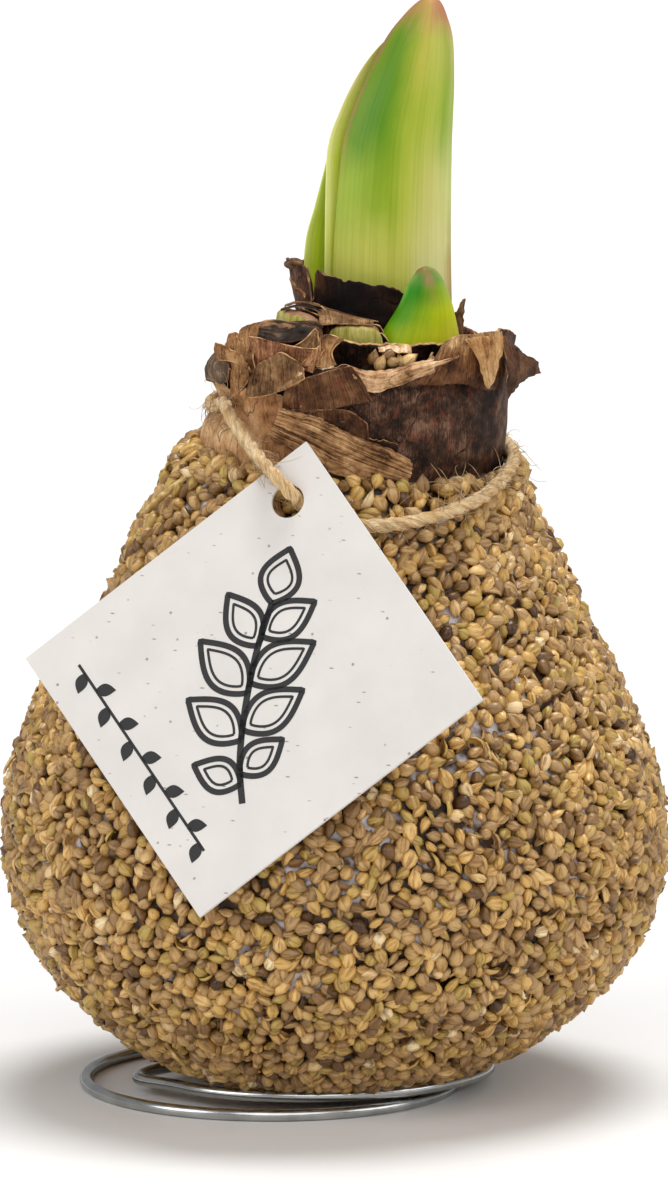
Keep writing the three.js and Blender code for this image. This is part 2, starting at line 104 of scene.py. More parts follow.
def connect(tree, node, sockets):  # another node's output is linked to a socket, anything else is its value
    for name, value in sockets.items():
        if isinstance(value, bpy.types.NodeSocket):
            tree.links.new(value, node.inputs[name])
        else:
            node.inputs[name].default_value = value


def addNode(tree, kind, output=0, values=(), stops=(), **settings):
    # adds a node and gives back one of its outputs; values fill its sockets in order, stops a colour ramp
    node = tree.nodes.new("ShaderNode" + kind)
    sockets = dict(enumerate(values))
    for name, value in settings.items():
        if name.replace("_", " ") in node.inputs:
            sockets[name.replace("_", " ")] = value
        else:
            setattr(node, name, value)
    connect(tree, node, sockets)
    if stops:  # each is (place, hex colour)
        elements = node.color_ramp.elements
        elements[0].position, elements[-1].position = stops[0][0], stops[-1][0]
        for place, _ in stops[1:-1]:
            elements.new(place)
        for element, (_, code) in zip(elements, stops):
            element.color = colour(code)
    return node.outputs[output]


def newMaterial(name):  # a material, and the function that adds nodes to it
    material = bpy.data.materials.new(name)
    material.use_nodes = True
    return material, partial(addNode, material.node_tree)


def finished(material, **sockets):
    tree = material.node_tree
    named = {name.replace("_", " "): value for name, value in sockets.items()}
    connect(tree, tree.nodes["Principled BSDF"], named)
    return material


def flatMaterial(name, stops, size, roughness):  # one finish, in clouds of that size
    material, add = newMaterial(name)
    clouds = add("TexNoise", "Fac", Vector=add("TexCoord", "Object"), Scale=1 / (size * mm), Detail=4)
    tones = add("ValToRGB", "Color", Fac=clouds, stops=stops)
    bump = add("Bump", Strength=0.4, Distance=0.2 * mm, Height=clouds)
    return finished(material, Roughness=roughness, Base_Color=tones, Normal=bump)


# meshes, and the pieces made of them
def gridSheet(columns, rows, place, closed=False, chart=None, size=(1, 1)):
    # a sheet whose points place(u, v) sets, with u and v from 0 to 1; its UV map is in size's own units
    sheet = bmesh.new()
    uvMap = sheet.loops.layers.uv.new("UVMap")
    bmesh.ops.create_grid(sheet, x_segments=columns, y_segments=rows, size=0.5)
    for face in sheet.faces:
        for loop in face.loops:
            u, v = loop.vert.co.x + 0.5, loop.vert.co.y + 0.5
            loop[uvMap].uv = chart(u, v) if chart else (u * size[0], v * size[1])
    for vert in sheet.verts:
        vert.co = place(vert.co.x + 0.5, vert.co.y + 0.5)
    if closed:
        bmesh.ops.remove_doubles(sheet, verts=sheet.verts, dist=0.001)
        bmesh.ops.recalc_face_normals(sheet, faces=sheet.faces)
    return sheet


def joined(sheets):
    whole = bmesh.new()
    for sheet in sheets:
        carrier = bpy.data.meshes.new("carrier")
        sheet.to_mesh(carrier)
        sheet.free()
        whole.from_mesh(carrier)
        bpy.data.meshes.remove(carrier)
    return whole


def addPiece(name, shape, material, replaced=(), slot=None, thick=0, rim=None, smooth=True):
    bmesh.ops.transform(shape, matrix=Matrix.Scale(mm, 4) @ Matrix.Translation(frameShift), verts=shape.verts)
    mesh = bpy.data.meshes.new(name)
    shape.to_mesh(mesh)
    shape.free()
    if smooth:
        mesh.shade_smooth()
    mesh.materials.append(material)
    piece = bpy.data.objects.new(name, mesh)
    bpy.context.collection.objects.link(piece)
    if thick:
        wall = piece.modifiers.new("wall", "SOLIDIFY")
        wall.thickness, wall.offset = thick * mm, 0
        if rim:
            mesh.materials.append(rim)
            wall.material_offset_rim = 1
    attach(piece, "root")
    if replaced:
        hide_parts(*replaced)
    return piece


def tubeSheet(line, radius, sides, reach=None, twist=0, ends=2):
    # a tube along a line; radius(angle, share) may change round it and along it, and its ends are rounded
    count = len(line) - 1
    frames = []
    side = Vector((0, 0, 1))
    for k, at in enumerate(line):
        along = (line[min(k + 1, count)] - line[max(k - 1, 0)]).normalized()
        side = side - along * side.dot(along)
        side = side.normalized() if side.length > 1e-6 else along.orthogonal().normalized()
        frames.append((at, side, along.cross(side)))

    def place(u, v):
        k = round(v * count)
        at, first, second = frames[k]
        angle = 2 * math.pi * u
        nearEnd = min(k, count - k)
        close = math.sin(math.pi / 2 * min(nearEnd / ends, 1)) if ends else 1
        reachOut = radius(angle, v) * close
        turned = angle + twist * v
        return at + (first * math.cos(turned) + second * math.sin(turned)) * reachOut

    return gridSheet(sides, count, place, closed=True, size=(1, reach or 1))


cameraSet = {"distance": 3000, "elevation": 10, "aim": (-0.3, -0.43, 81.2), "framedHeight": 198.7}


def makeCamera():
    tilt = math.radians(cameraSet["elevation"])
    data = bpy.data.cameras.new("camera")
    data.sensor_width = 36
    data.lens = data.sensor_width * cameraSet["distance"] / cameraSet["framedHeight"]
    data.clip_start, data.clip_end = 0.1, 100
    camera = bpy.data.objects.new("camera", data)
    bpy.context.collection.objects.link(camera)
    back = Vector((0, -math.cos(tilt), math.sin(tilt)))
    camera.location = (Vector(cameraSet["aim"]) + back * cameraSet["distance"]) * mm
    camera.rotation_euler = (math.pi / 2 - tilt, 0, 0)
    bpy.context.scene.camera = camera


makeCamera()
print("camera set")


# the grown shape that every layer of the bulb follows
body = {
    "outline": [  # radius and height of the coat's outside, from the middle underneath to its lip
        (0, 3.3), (20, 3.5), (27.4, 4.7), (34, 7.8), (42.2, 13.7), (49.4, 21.5), (54.3, 34), (55, 44),
        (52.6, 56.5), (47.4, 68.5), (41.6, 77.5), (37.4, 86), (35, 92.4), (31.8, 98), (30.1, 102.5),
        (28.8, 105.4),
    ],
    "lip": [(27.2, 106.9), (25.2, 107.3)],
    "lean": 3.9,  # how far the neck stands to the right
    "leanSteps": [(0.42, 62, 85), (0.58, 98, 112)],  # a share of it, and the heights between which it comes
    "tilt": 0.045,  # the coat reaches higher on the left
    "tiltHeights": (80, 104, 108, 117),  # where this starts, is full, fades and ends
    "oval": 0.01,
    "lobes": 0.008,
    "neckRadius": 24.6,
    "pinch": 2.8,  # the twine pulls the dry skins in, on the left
    "pinchHeight": 115,
    "pinchSpread": 5,
    "throat": Vector((1.7, -3, 0)),  # how far its middle stands off the neck's
}


def grown(radius, degrees, height):
    a = math.radians(degrees)
    nearTwine = math.exp(-(((height - body["pinchHeight"]) / body["pinchSpread"]) ** 2))
    pinched = body["pinch"] * max(0, math.cos(a - math.pi)) ** 3 * nearTwine
    oval, lobes = body["oval"] * math.sin(2 * a + 0.6), body["lobes"] * math.sin(3 * a + height / 16)
    swell = 1 + oval + lobes - pinched / body["neckRadius"]
    x = radius * swell * math.cos(a)
    start, full, fading, end = body["tiltHeights"]
    tilted = smoothStep(height, start, full) * (1 - smoothStep(height, fading, end))
    lean = sum(share * smoothStep(height, low, high) for share, low, high in body["leanSteps"])
    return Vector((x + body["lean"] * lean, radius * swell * math.sin(a), height - body["tilt"] * x * tilted))


def inThroat(radius, degrees, height):
    return grown(radius, degrees, height) + body["throat"]


outlineSteps = 240
outlineLine, outlineLength = evenLine(body["outline"] + body["lip"], outlineSteps)


def coatPoint(share, degrees, inset):
    at = min(max(share, 0), 1) * outlineSteps
    i = min(int(at), outlineSteps - 1)
    here = outlineLine[i].lerp(outlineLine[i + 1], at - i)
    run = (outlineLine[i + 1] - outlineLine[i]).normalized()
    return grown(max(here.x - run.y * inset, 0), degrees, here.y + run.x * inset)


# twine
twine = {
    "diameter": 2.6,
    "strands": 3,
    "pitch": 9,  # length of one turn of the strands
    "hollow": 0.62,  # radius between two strands, as a share of the whole
    "strandRise": 0.3,
    "worn": (0.1, 1.6),  # how much its surface varies, and over what length
    "slubs": (0.12, 5),  # thicker and thinner stretches, the same way
    "steps": 420,
    "route": [
        (1.2, 28.3, 112.3), (-2.6, 27.4, 112.2), (-10, 24.7, 112.4), (-16.8, 18.4, 113),
        (-19.8, 10.4, 113.2), (-20.3, 2.2, 113.8), (-19.8, -5, 114.6), (-18.9, -10.4, 115.8),
        (-17.9, -14.4, 116.4), (-16.9, -18.4, 115), (-13.8, -24.4, 111.2), (-10.9, -30.6, 108.6),
        (-9, -33.5, 107), (-7.2, -33.6, 105), (-6, -32, 103.4), (-4.4, -31.6, 101.6), (-1.6, -32.5, 100.2),
        (3.4, -33.7, 99.5), (10.6, -32.3, 99.5), (17.5, -28.7, 100.5), (23.5, -23.2, 102),
        (27.6, -15.8, 104), (29.6, -6.7, 105.4), (29.4, 3, 106), (27, 12.2, 106.8), (22.5, 20.4, 108.8),
        (14.8, 25.8, 110.8), (9.4, 27.7, 111.9), (6, 28.4, 112.2),
    ],
    "hairs": 520,
    "hairWidth": 0.13,
    "hairRoot": 0.36,  # how far from the cord's middle it starts, as a share of the diameter
    "hairLean": (0.12, 0.6),  # how far a hair stands off the cord, beside its run along it
    "hairTurns": (0.2, 1.1),
    "hairLengths": {"long": (5, 9), "short": (1.5, 4.5)},
    "hairCurls": {"long": (0.3, 2.2), "short": (0.1, 0.8)},
    "longEvery": 6,
    "looseFibres": [  # where it starts, its direction, how wide and how long it curls, and its turns
        ((18.6, -29.6, 101.4), (0.1, -0.4, 1), 1.6, 7.5, 0.5),
        ((19.6, -28.6, 101.8), (-1, -0.5, 0.6), 1.4, 8, 0.4),
        ((26.4, -20.4, 104), (-1, -0.9, 0.5), 1.6, 9, 0.6),
        ((23.2, -24.6, 103), (-1, -0.6, 0.2), 1.8, 7, 0.9),
        ((27.6, -18, 105), (-0.2, -0.6, 1), 1.2, 6, 0.3), ((28.6, -15, 105.8), (-0.7, -1, 0.7), 2, 8, 0.5),
        ((-16.6, -19.4, 114.6), (0.4, -0.8, -1), 2.4, 8.5, 0.6),
        ((-15.2, -22.2, 113), (0.9, -0.6, -0.9), 1.6, 9, 0.3),
        ((-14, -25, 111.6), (0.7, -0.4, -1), 1.2, 8, 0.4),
        ((-18.2, -16, 117.4), (0.3, -0.6, 1), 1.4, 5.5, 0.5),
        ((-17.8, -16.6, 117.4), (1, -0.5, 0.4), 1.8, 7, 0.7),
        ((-19.4, -12.6, 117.6), (-0.6, -0.8, -0.6), 1.6, 6, 0.6),
        ((-20, -11, 117.2), (0.2, -1, -0.8), 2, 7, 0.5),
        ((-18.8, -14.6, 117.6), (0.1, -0.8, 0.9), 2, 5, 0.8),
        ((10.8, -33.2, 99.6), (-1, -0.3, -0.2), 0.9, 7, 0.5),
        ((12.6, -32.6, 99.8), (-1, -0.35, 0.15), 0.7, 8, 0.3),
        ((17.8, -30, 101), (0.1, -0.2, 1), 1.8, 9, 0.6),
        ((20.4, -28.2, 101.8), (0.2, -0.3, 1), 1.4, 8.5, 0.8),
        ((22, -26.8, 102.2), (-0.8, -0.4, 0.8), 2.2, 9, 0.7),
        ((24.6, -23.8, 102.8), (-0.5, -0.4, 0.9), 1.8, 7.5, 1.1),
        ((16, -30.6, 101), (0.5, -0.3, 0.9), 1.2, 7, 0.9),
        ((26, -21.6, 103.4), (-0.9, -0.5, 0.5), 1.4, 8, 0.5),
    ],
    "knot": {
        "place": Vector((3.6, 28.2, 112.4)), "cord": 2.4, "width": 2.1, "depth": 1.1,
        "tail": [(1.2, 0.4, -0.6), (2.6, 1.4, -2), (4.6, 3.4, -5.4), (6, 5.6, -10.6)],  # at one side
        "frayed": {  # the fibres at the ends
            "count": 12, "spread": 0.35, "reach": (2, 3.6), "curl": 0.5, "turns": 0.5, "width": 0.25,
        },
    },
}


def juteMaterial():  # jute, spun and twisted: pale golden bast fibres, dry, with a slight shine
    material, add = newMaterial("twistedJute")
    # UV is turns round the cord and millimetres along it; a fibre shows about 0.3 mm wide and 2 mm long
    laid = add("Mapping", Vector=add("UVMap", uv_map="UVMap"), Scale=(30, 0.5, 1))
    fibres = add("TexNoise", "Fac", Vector=laid, Scale=1, Detail=5, Roughness=0.7, Distortion=0.4)
    tones = add("ValToRGB", "Color", Fac=fibres, stops=[
        (0.3, "#8A6434"), (0.41, "#DCB078"), (0.53, "#FADAA6"), (0.66, "#FFF4D8")])
    patches = add("TexNoise", "Fac", Vector=add("TexCoord", "Object"), Scale=1 / (4 * mm), Detail=3)
    shade = add("ValToRGB", "Color", Fac=patches, stops=[(0.35, "#E8DAC2"), (0.6, "#FFFFFF")])
    mixed = add("MixRGB", blend_type="MULTIPLY", Fac=1, Color1=tones, Color2=shade)
    bump = add("Bump", Strength=1, Distance=0.35 * mm, Height=fibres)
    return finished(material, Roughness=0.75, Sheen_Weight=0.1, Base_Color=mixed, Normal=bump)


jute = juteMaterial()


def twistedCord(line, length, diameter):
    # round strands laid side by side give a lobed section, which turns along the cord
    turns = 2 * math.pi * length / twine["pitch"]
    half = twine["strands"] / 2
    (wear, wearLength), (slub, slubLength) = twine["worn"], twine["slubs"]

    def radius(angle, share):
        lobe = abs(math.cos(half * angle)) ** 0.8
        along = share * length
        worn = 1 + wear * noise.noise(Vector((math.cos(angle), math.sin(angle), along / wearLength)))
        slubs = 1 + slub * noise.noise(Vector((0.5, 0.5, along / slubLength)))
        return diameter / 2 * (twine["hollow"] + twine["strandRise"] * lobe) * worn * slubs

    return tubeSheet(line, radius, 24, reach=length, twist=turns)


def hairSheet(start, run, curl, reach, turns, width):  # one loose fibre, curling as it leaves the cord
    side = run.orthogonal().normalized()
    path = []
    for k in range(9):
        t = k / 8
        angle = 2 * math.pi * turns * t
        swing = side * math.sin(angle) + run.cross(side) * (1 - math.cos(angle))
        path.append(start + run * reach * t + swing * curl * t - Vector((0, 0, 0.1 * reach * t * t)))
    fine, _ = evenLine(path, 9)
    return tubeSheet(fine, lambda angle, share: width / 2 * (1 - 0.5 * share), 3, reach=reach, ends=1)


def shaken(rng):  # a direction at random
    return Vector([rng.gauss(0, 1) for _ in range(3)])


def makeHairs(line, rng):
    hairs = []
    for k in range(twine["hairs"]):
        at = rng.randrange(4, len(line) - 4)
        along = (line[at + 1] - line[at - 1]).normalized()
        out = shaken(rng)
        out = (out - along * out.dot(along)).normalized()
        kind = "short" if k % twine["longEvery"] else "long"
        reach = rng.uniform(*twine["hairLengths"][kind])
        run = (out * rng.uniform(*twine["hairLean"]) + along * rng.choice((-1, 1))).normalized()
        curl, turns = rng.uniform(*twine["hairCurls"][kind]), rng.uniform(*twine["hairTurns"])
        start = line[at] + out * twine["diameter"] * twine["hairRoot"]
        hairs.append(hairSheet(start, run, curl, reach, turns, twine["hairWidth"]))
    for spot, run, curl, reach, turns in twine["looseFibres"]:
        run = Vector(run).normalized()
        hairs.append(hairSheet(Vector(spot), run, curl, reach, turns, twine["hairWidth"] * 1.5))
    return hairs


def makeKnot(rng):
    knot = twine["knot"]
    path = []
    for k in range(61):  # a two by three torus knot, drawn tight
        a = 2 * math.pi * k / 60
        ring = knot["width"] + math.cos(3 * a)
        turned = Vector((ring * math.cos(2 * a), knot["depth"] * math.sin(3 * a), ring * math.sin(2 * a)))
        path.append(knot["place"] + turned)
    parts = [twistedCord(*evenLine(path, 110), knot["cord"])]
    for side in (-1, 1):
        tail, length = evenLine([knot["place"] + Vector((side * x, y, z)) for x, y, z in knot["tail"]], 40)
        parts.append(twistedCord(tail, length, knot["cord"]))
        frayed = knot["frayed"]
        for _ in range(frayed["count"]):
            run = ((tail[-1] - tail[-6]).normalized() + frayed["spread"] * shaken(rng)).normalized()
            reach = rng.uniform(*frayed["reach"])
            parts.append(hairSheet(tail[-3], run, frayed["curl"], reach, frayed["turns"], frayed["width"]))
    return parts


def makeTwine():
    line, length = evenLine(twine["route"], twine["steps"])
    cord = addPiece("twine_cord", twistedCord(line, length, twine["diameter"]), jute, ["twine"], "jute_twine")
    rng = random.Random(4)
    fuzz = addPiece("twine_fuzz", joined(makeHairs(line, rng)), jute, slot="jute_twine")
    knot = addPiece("twine_bow", joined(makeKnot(rng)), jute, ["twine_knot"], "jute_twine")
    inFrame = [(p + frameShift) * mm for p in line]
    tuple(inFrame[0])
    print("twine made,", round(length), "mm long")


makeTwine()


# millet seeds in wax
seeds = {
    "layers": [  # grains, how deep their middles lie under the coat's outline, and their length
        {"count": 7900, "depth": (0.5, 1.35), "length": (2.7, 3.8), "start": 0, "tone": 0.5},
        # this deeper layer's lower tone is painted shade: it darkens the grains seen in the gaps between the
        # outer ones
        {"count": 3100, "depth": (1.7, 2.3), "length": (2.5, 3.3), "start": 40, "tone": 0.36},
    ],
    "shapes": [  # how many of a hundred grains, their width and thickness, how pointed, and if they are husks
        ("plump", 46, (0.86, 0.62, 1)), ("round", 16, (0.95, 0.8, 0.5)), ("slim", 8, (0.66, 0.46, 1)),
        ("flat", 22, (0.9, 0.4, 1)), ("husk", 8, (0.86, 0.62, 1, True)),
    ],
    "narrowing": 0.7,  # of a pointed grain at its tip
    "stretch": 0.25,  # of that tip
    "keel": 0.22,  # height of the ridge along a grain's back
    "huskWall": 0.05,
    "roundLength": 0.76,  # a round grain's length, as a share of another's
    "goldenAngle": 137.50776,
    "wander": 0.6,  # from its even place
    "lift": {"middle": 7, "spread": 25, "least": -35, "most": 65},  # degrees that a grain stands off the coat
    "lumps": 0.8,  # how uneven the coat is
    "lumpSize": 9,
    "sag": 1.7,  # how far out the coat hangs in front, near the coil
    "sagFrom": (0.07, 0.14), "sagTo": (0.2, 0.34), "sagSide": 255,  # along the outline, and degrees
    "toneSpread": 0.2,
    "tonePatches": 0.14,
    "rim": [  # degrees, and the share of the outline where they end
        (0, 0.985), (90, 1), (180, 1), (240, 0.995), (270, 0.985), (300, 0.98), (330, 0.98),
    ],
    "sectors": 5,
    "straws": [  # bits of straw: share of the outline, degrees, turn, length and thickness
        (0.27, 229, -61, 6, 0.9), (0.53, 327, -53, 5, 0.8), (0.42, 280, -30, 4.5, 0.6),
        (0.66, 300, 80, 4, 0.6), (0.36, 205, 20, 5, 0.8), (0.93, 203, 84, 10, 1.4), (0.6, 190, -50, 5, 0.7),
        (0.48, 20, 40, 6, 0.9), (0.55, 100, 70, 5, 0.7), (0.4, 140, -20, 5.5, 0.8), (0.7, 60, 10, 4, 0.6),
        (0.8, 120, 40, 5, 0.8),
    ],
    "fallen": [  # millet in the hollow behind the rolled lip: where it lies, its direction, length and tone
        ((7.6, -22.9, 124.6), (0.45, 0.2, 1), 2.9, 0.42), ((9.8, -22.8, 124.8), (1, 0.3, 0.15), 2.6, 0.3),
        ((12.3, -22.6, 125.2), (1, 0.3, 0.6), 2.9, 0.85), ((6.5, -22.2, 125.4), (0.2, 0.2, 1), 2.7, 0.15),
        ((9.1, -21.9, 126), (0.8, 0.2, 0.3), 2.7, 0.18), ((11, -22.3, 124.9), (-0.4, 0.2, 1), 2.4, 0.35),
    ],
}


def grainMesh(name, width, thick, point, husk=False):
    # a pointed oval grain one unit long; a husk is half of one, hollow, with a thin rim
    grain = bmesh.new()
    grain.loops.layers.uv.new("UVMap")
    bmesh.ops.create_uvsphere(grain, u_segments=6 if husk else 7, v_segments=5, radius=0.5, calc_uvs=True)
    for vert in grain.verts:
        tip = max(0, vert.co.z * 2)
        narrow = 1 - point * seeds["narrowing"] * tip ** 1.6
        onRidge = abs(vert.co.y) > 0.4 * math.hypot(vert.co.x, vert.co.y) + 0.1
        keel = 1 + seeds["keel"] * onRidge
        vert.co.x *= width * narrow
        vert.co.y *= thick * narrow * keel
        vert.co.z *= 1 + seeds["stretch"] * point * tip ** 3
    if husk:
        bmesh.ops.bisect_plane(grain, geom=grain.verts[:] + grain.edges[:] + grain.faces[:],
                               plane_co=(0, 0.02, 0), plane_no=(0, 1, 0), clear_outer=True)
        bmesh.ops.solidify(grain, geom=grain.faces[:], thickness=seeds["huskWall"])
    mesh = bpy.data.meshes.new(name)
    grain.to_mesh(mesh)
    grain.free()
    mesh.shade_smooth()
    mesh.attributes.new("tone", "FLOAT", "POINT")
    return mesh


def milletMaterial():  # millet, threshed: hard, satin hulls in straw, olive and brown, striped lengthwise
    material, add = newMaterial("threshedMillet")
    hulls = add("ValToRGB", "Color", Fac=add("Attribute", "Fac", attribute_name="tone"), stops=[
        (0, "#523618"), (0.15, "#866338"), (0.3, "#AA8858"), (0.44, "#C8A470"), (0.55, "#D0AA68"),
        (0.61, "#BEA458"), (0.67, "#D8B064"), (0.8, "#EEC680"), (0.92, "#EACC9A"), (1, "#FCE6B8")])
    chart = add("UVMap", uv_map="UVMap")
    # UV goes once round a grain and once along it; stripes are about 0.7 mm apart, and no two grains match
    ribs = add("Mapping", Vector=chart, Scale=(11, 1.1, 1))
    apart = add("VectorMath", operation="SCALE", Vector=add("TexCoord", "Object"), Scale=0.16 / mm)
    shifted = add("VectorMath", operation="ADD", values=(ribs, apart))
    stripes = add("TexNoise", "Fac", Vector=shifted, Scale=1, Detail=3, Roughness=0.6)
    stripeShade = add("ValToRGB", "Color", Fac=stripes, stops=[
        (0.3, "#6E4E2A"), (0.43, "#CCB28C"), (0.54, "#FFFFFF"), (0.72, "#FFF6E0")])
    striped = add("MixRGB", blend_type="MULTIPLY", Fac=0.75, Color1=hulls, Color2=stripeShade)
    # both ends of every grain are darkened: partly the grain's own dark hilum, partly painted shade where the
    # grains crowd together
    hilumAndShadeEnds = add("ValToRGB", "Color", Fac=add("SeparateXYZ", "Y", Vector=chart), stops=[
        (0.02, "#4A3018"), (0.24, "#FFFFFF"), (0.68, "#FFFFFF"), (0.96, "#6E4A26")])
    tipped = add("MixRGB", blend_type="MULTIPLY", Fac=0.75, Color1=striped, Color2=hilumAndShadeEnds)
    bump = add("Bump", Strength=0.7, Distance=0.14 * mm, Height=stripes)
    return finished(material, Roughness=0.32, Base_Color=tipped, Normal=bump)


def sideways(degrees):  # the way round the bulb, at that place
    return Vector((-math.sin(math.radians(degrees)), math.cos(math.radians(degrees)), 0))


def grainSpot(layer, share, degrees, rng):  # where a grain's middle lies, and its two directions on the coat
    at = coatPoint(share, degrees, rng.uniform(*layer["depth"]))
    up = coatPoint(share + 0.002, degrees, 1) - coatPoint(share - 0.002, degrees, 1)
    side = sideways(degrees)
    out = side.cross(up).normalized()
    calm = 1 - smoothStep(share, 0.93, 1)  # the grains lie lower at the lip
    at -= out * seeds["lumps"] * (0.5 + 0.5 * rough(at, seeds["lumpSize"])) * calm
    low = smoothStep(share, *seeds["sagFrom"]) * (1 - smoothStep(share, *seeds["sagTo"]))
    at += out * seeds["sag"] * low * max(0, math.cos(math.radians(degrees - seeds["sagSide"])))
    return at, side, out


def setTone(mesh, tone):
    mesh.attributes["tone"].data.foreach_set("value", [tone] * len(mesh.vertices))


def layGrain(mesh, at, side, out, spin, lift, layer, coat, rng):
    flat = side * math.cos(spin) + out.cross(side) * math.sin(spin)
    axis = flat * math.cos(lift) + out * math.sin(lift)
    roll = rng.uniform(0, 2 * math.pi)
    if mesh.name.startswith(("flat", "husk")):
        roll = math.radians(rng.gauss(90, 30))
    across = axis.cross(out).normalized()
    turned = across * math.cos(roll) + axis.cross(across) * math.sin(roll)
    length = rng.uniform(*layer["length"]) * (seeds["roundLength"] if mesh.name.startswith("round") else 1)
    turn = Matrix((turned, axis.cross(turned), axis)).transposed().to_4x4()
    move = Matrix.Translation(at) @ turn @ Matrix.Scale(length, 4)
    tone = rng.gauss(layer["tone"], seeds["toneSpread"]) + seeds["tonePatches"] * rough(at, 5, 3)
    setTone(mesh, min(max(tone, 0), 1))
    mesh.transform(move)
    coat.from_mesh(mesh)
    mesh.transform(move.inverted())


def makeCoats(meshes):  # the grains of each layer, spread evenly, and shared out over the sectors of the coat
    rng = random.Random(12)
    areas = [0]  # of the rings of the coat
    for a, b in zip(outlineLine, outlineLine[1:]):
        areas.append(areas[-1] + (a.x + b.x) * (b - a).length)
    coats = [bmesh.new() for _ in range(seeds["sectors"])]
    wander, lifts = seeds["wander"], seeds["lift"]
    weights = [share for _, share, _ in seeds["shapes"]]
    for layer in seeds["layers"]:
        for i in range(layer["count"]):
            goal = areas[-1] * (i + 0.5) / layer["count"]
            k = bisect.bisect_left(areas, goal)
            ring = (k - 1 + (goal - areas[k - 1]) / (areas[k] - areas[k - 1])) / outlineSteps
            share = min(max(ring + rng.uniform(-wander, wander) / outlineLength, 0.003), 0.997)
            radius = max(outlineLine[min(k, outlineSteps)].x, 1)
            aside = math.degrees(rng.uniform(-wander, wander) / radius)
            degrees = layer["start"] + i * seeds["goldenAngle"] + aside
            if share > around(seeds["rim"], degrees):
                continue
            at, side, out = grainSpot(layer, share, degrees, rng)
            spin = rng.uniform(0, 2 * math.pi)
            lift = min(max(rng.gauss(lifts["middle"], lifts["spread"]), lifts["least"]), lifts["most"])
            mesh = rng.choices(meshes, weights)[0]
            coat = coats[int(degrees % 360 * seeds["sectors"] / 360)]
            layGrain(mesh, at, side, out, spin, math.radians(lift), layer, coat, rng)
    return coats


def strawSheet(share, degrees, spin, length, thick):
    start = coatPoint(share, degrees, -0.7)
    side = sideways(degrees)
    up = (coatPoint(share + 0.01, degrees, 0.1) - start).normalized()
    run = side * math.cos(math.radians(spin)) + up * math.sin(math.radians(spin))
    line, _ = evenLine([start - run * length / 2, start + side.cross(up) * 0.3, start + run * length / 2], 12)
    return tubeSheet(line, lambda angle, along: thick * (0.5 - 0.16 * along), 6, reach=1, ends=1)


def fallenGrains(plump):
    fallen = bmesh.new()
    for spot, axis, length, tone in seeds["fallen"]:
        grain = plump.copy()
        setTone(grain, tone)
        turn = Vector(axis).to_track_quat("Z", "Y").to_matrix().to_4x4()
        grain.transform(Matrix.Translation(spot) @ turn @ Matrix.Scale(length, 4))
        fallen.from_mesh(grain)
        bpy.data.meshes.remove(grain)
    return fallen


def makeSeeds():
    meshes = [grainMesh(name, *shape) for name, _, shape in seeds["shapes"]]
    coats = makeCoats(meshes)
    straws = joined([strawSheet(*straw) for straw in seeds["straws"]])
    addPiece("fallen_millet", fallenGrains(meshes[0]), millet, slot="millet_seed")
    straw = flatMaterial("milletStraw", [(0.35, "#7E6234"), (0.5, "#B4924F"), (0.65, "#DEC188")], 1.5, 0.5)
    addPiece("millet_straws", straws, straw, slot="millet_seed")
    for k, coat in enumerate(coats):
        addPiece("millet_seeds_" + chr(ord("a") + k), coat, millet, ["seed_cover"], "millet_seed")
    print("millet made,", sum(layer["count"] for layer in seeds["layers"]), "grains")


def waxMaterial():  # candle wax, poured and set: greyish white, soft sheen; its dark brown clouds are partly stain from sunken chaff, partly painted shade between the grains
    material, add = newMaterial("whiteWax")
    place = add("TexCoord", "Object")
    clouds = add("TexNoise", "Fac", Vector=place, Scale=1 / (6 * mm), Detail=3)
    # the two dark brown stops are painted shade in the gaps between grains, mixed with chaff stain; the pale
    # stops are the wax itself
    tones = add("ValToRGB", "Color", Fac=clouds, stops=[
        (0.44, "#2E1A08"), (0.52, "#573C20"), (0.57, "#BEB6BA"), (0.64, "#F0EEF6")])
    drips = add("TexNoise", "Fac", Vector=place, Scale=1 / (1.5 * mm), Detail=2)
    bump = add("Bump", Strength=0.5, Distance=0.4 * mm, Height=drips)
    return finished(material, Roughness=0.45, Base_Color=tones, Normal=bump)


wax = {  # depths lie under the coat's outline; waveDepth is where the noise of its waves is read
    "depth": 2, "waves": 0.55, "waveSize": 4, "waveDepth": 1.9, "columns": 110, "rows": 80,
}


def makeWax():
    def place(u, v):
        waves = wax["waves"] * rough(coatPoint(v, 360 * u, wax["waveDepth"]), wax["waveSize"], 2)
        return coatPoint(v, 360 * u, wax["depth"] + waves)

    skin = gridSheet(wax["columns"], wax["rows"], place, closed=True)
    addPiece("wax_skin", skin, waxMaterial(), ["wax_coat"], "white_wax")
    print("wax made")


millet = milletMaterial()
makeSeeds()
makeWax()


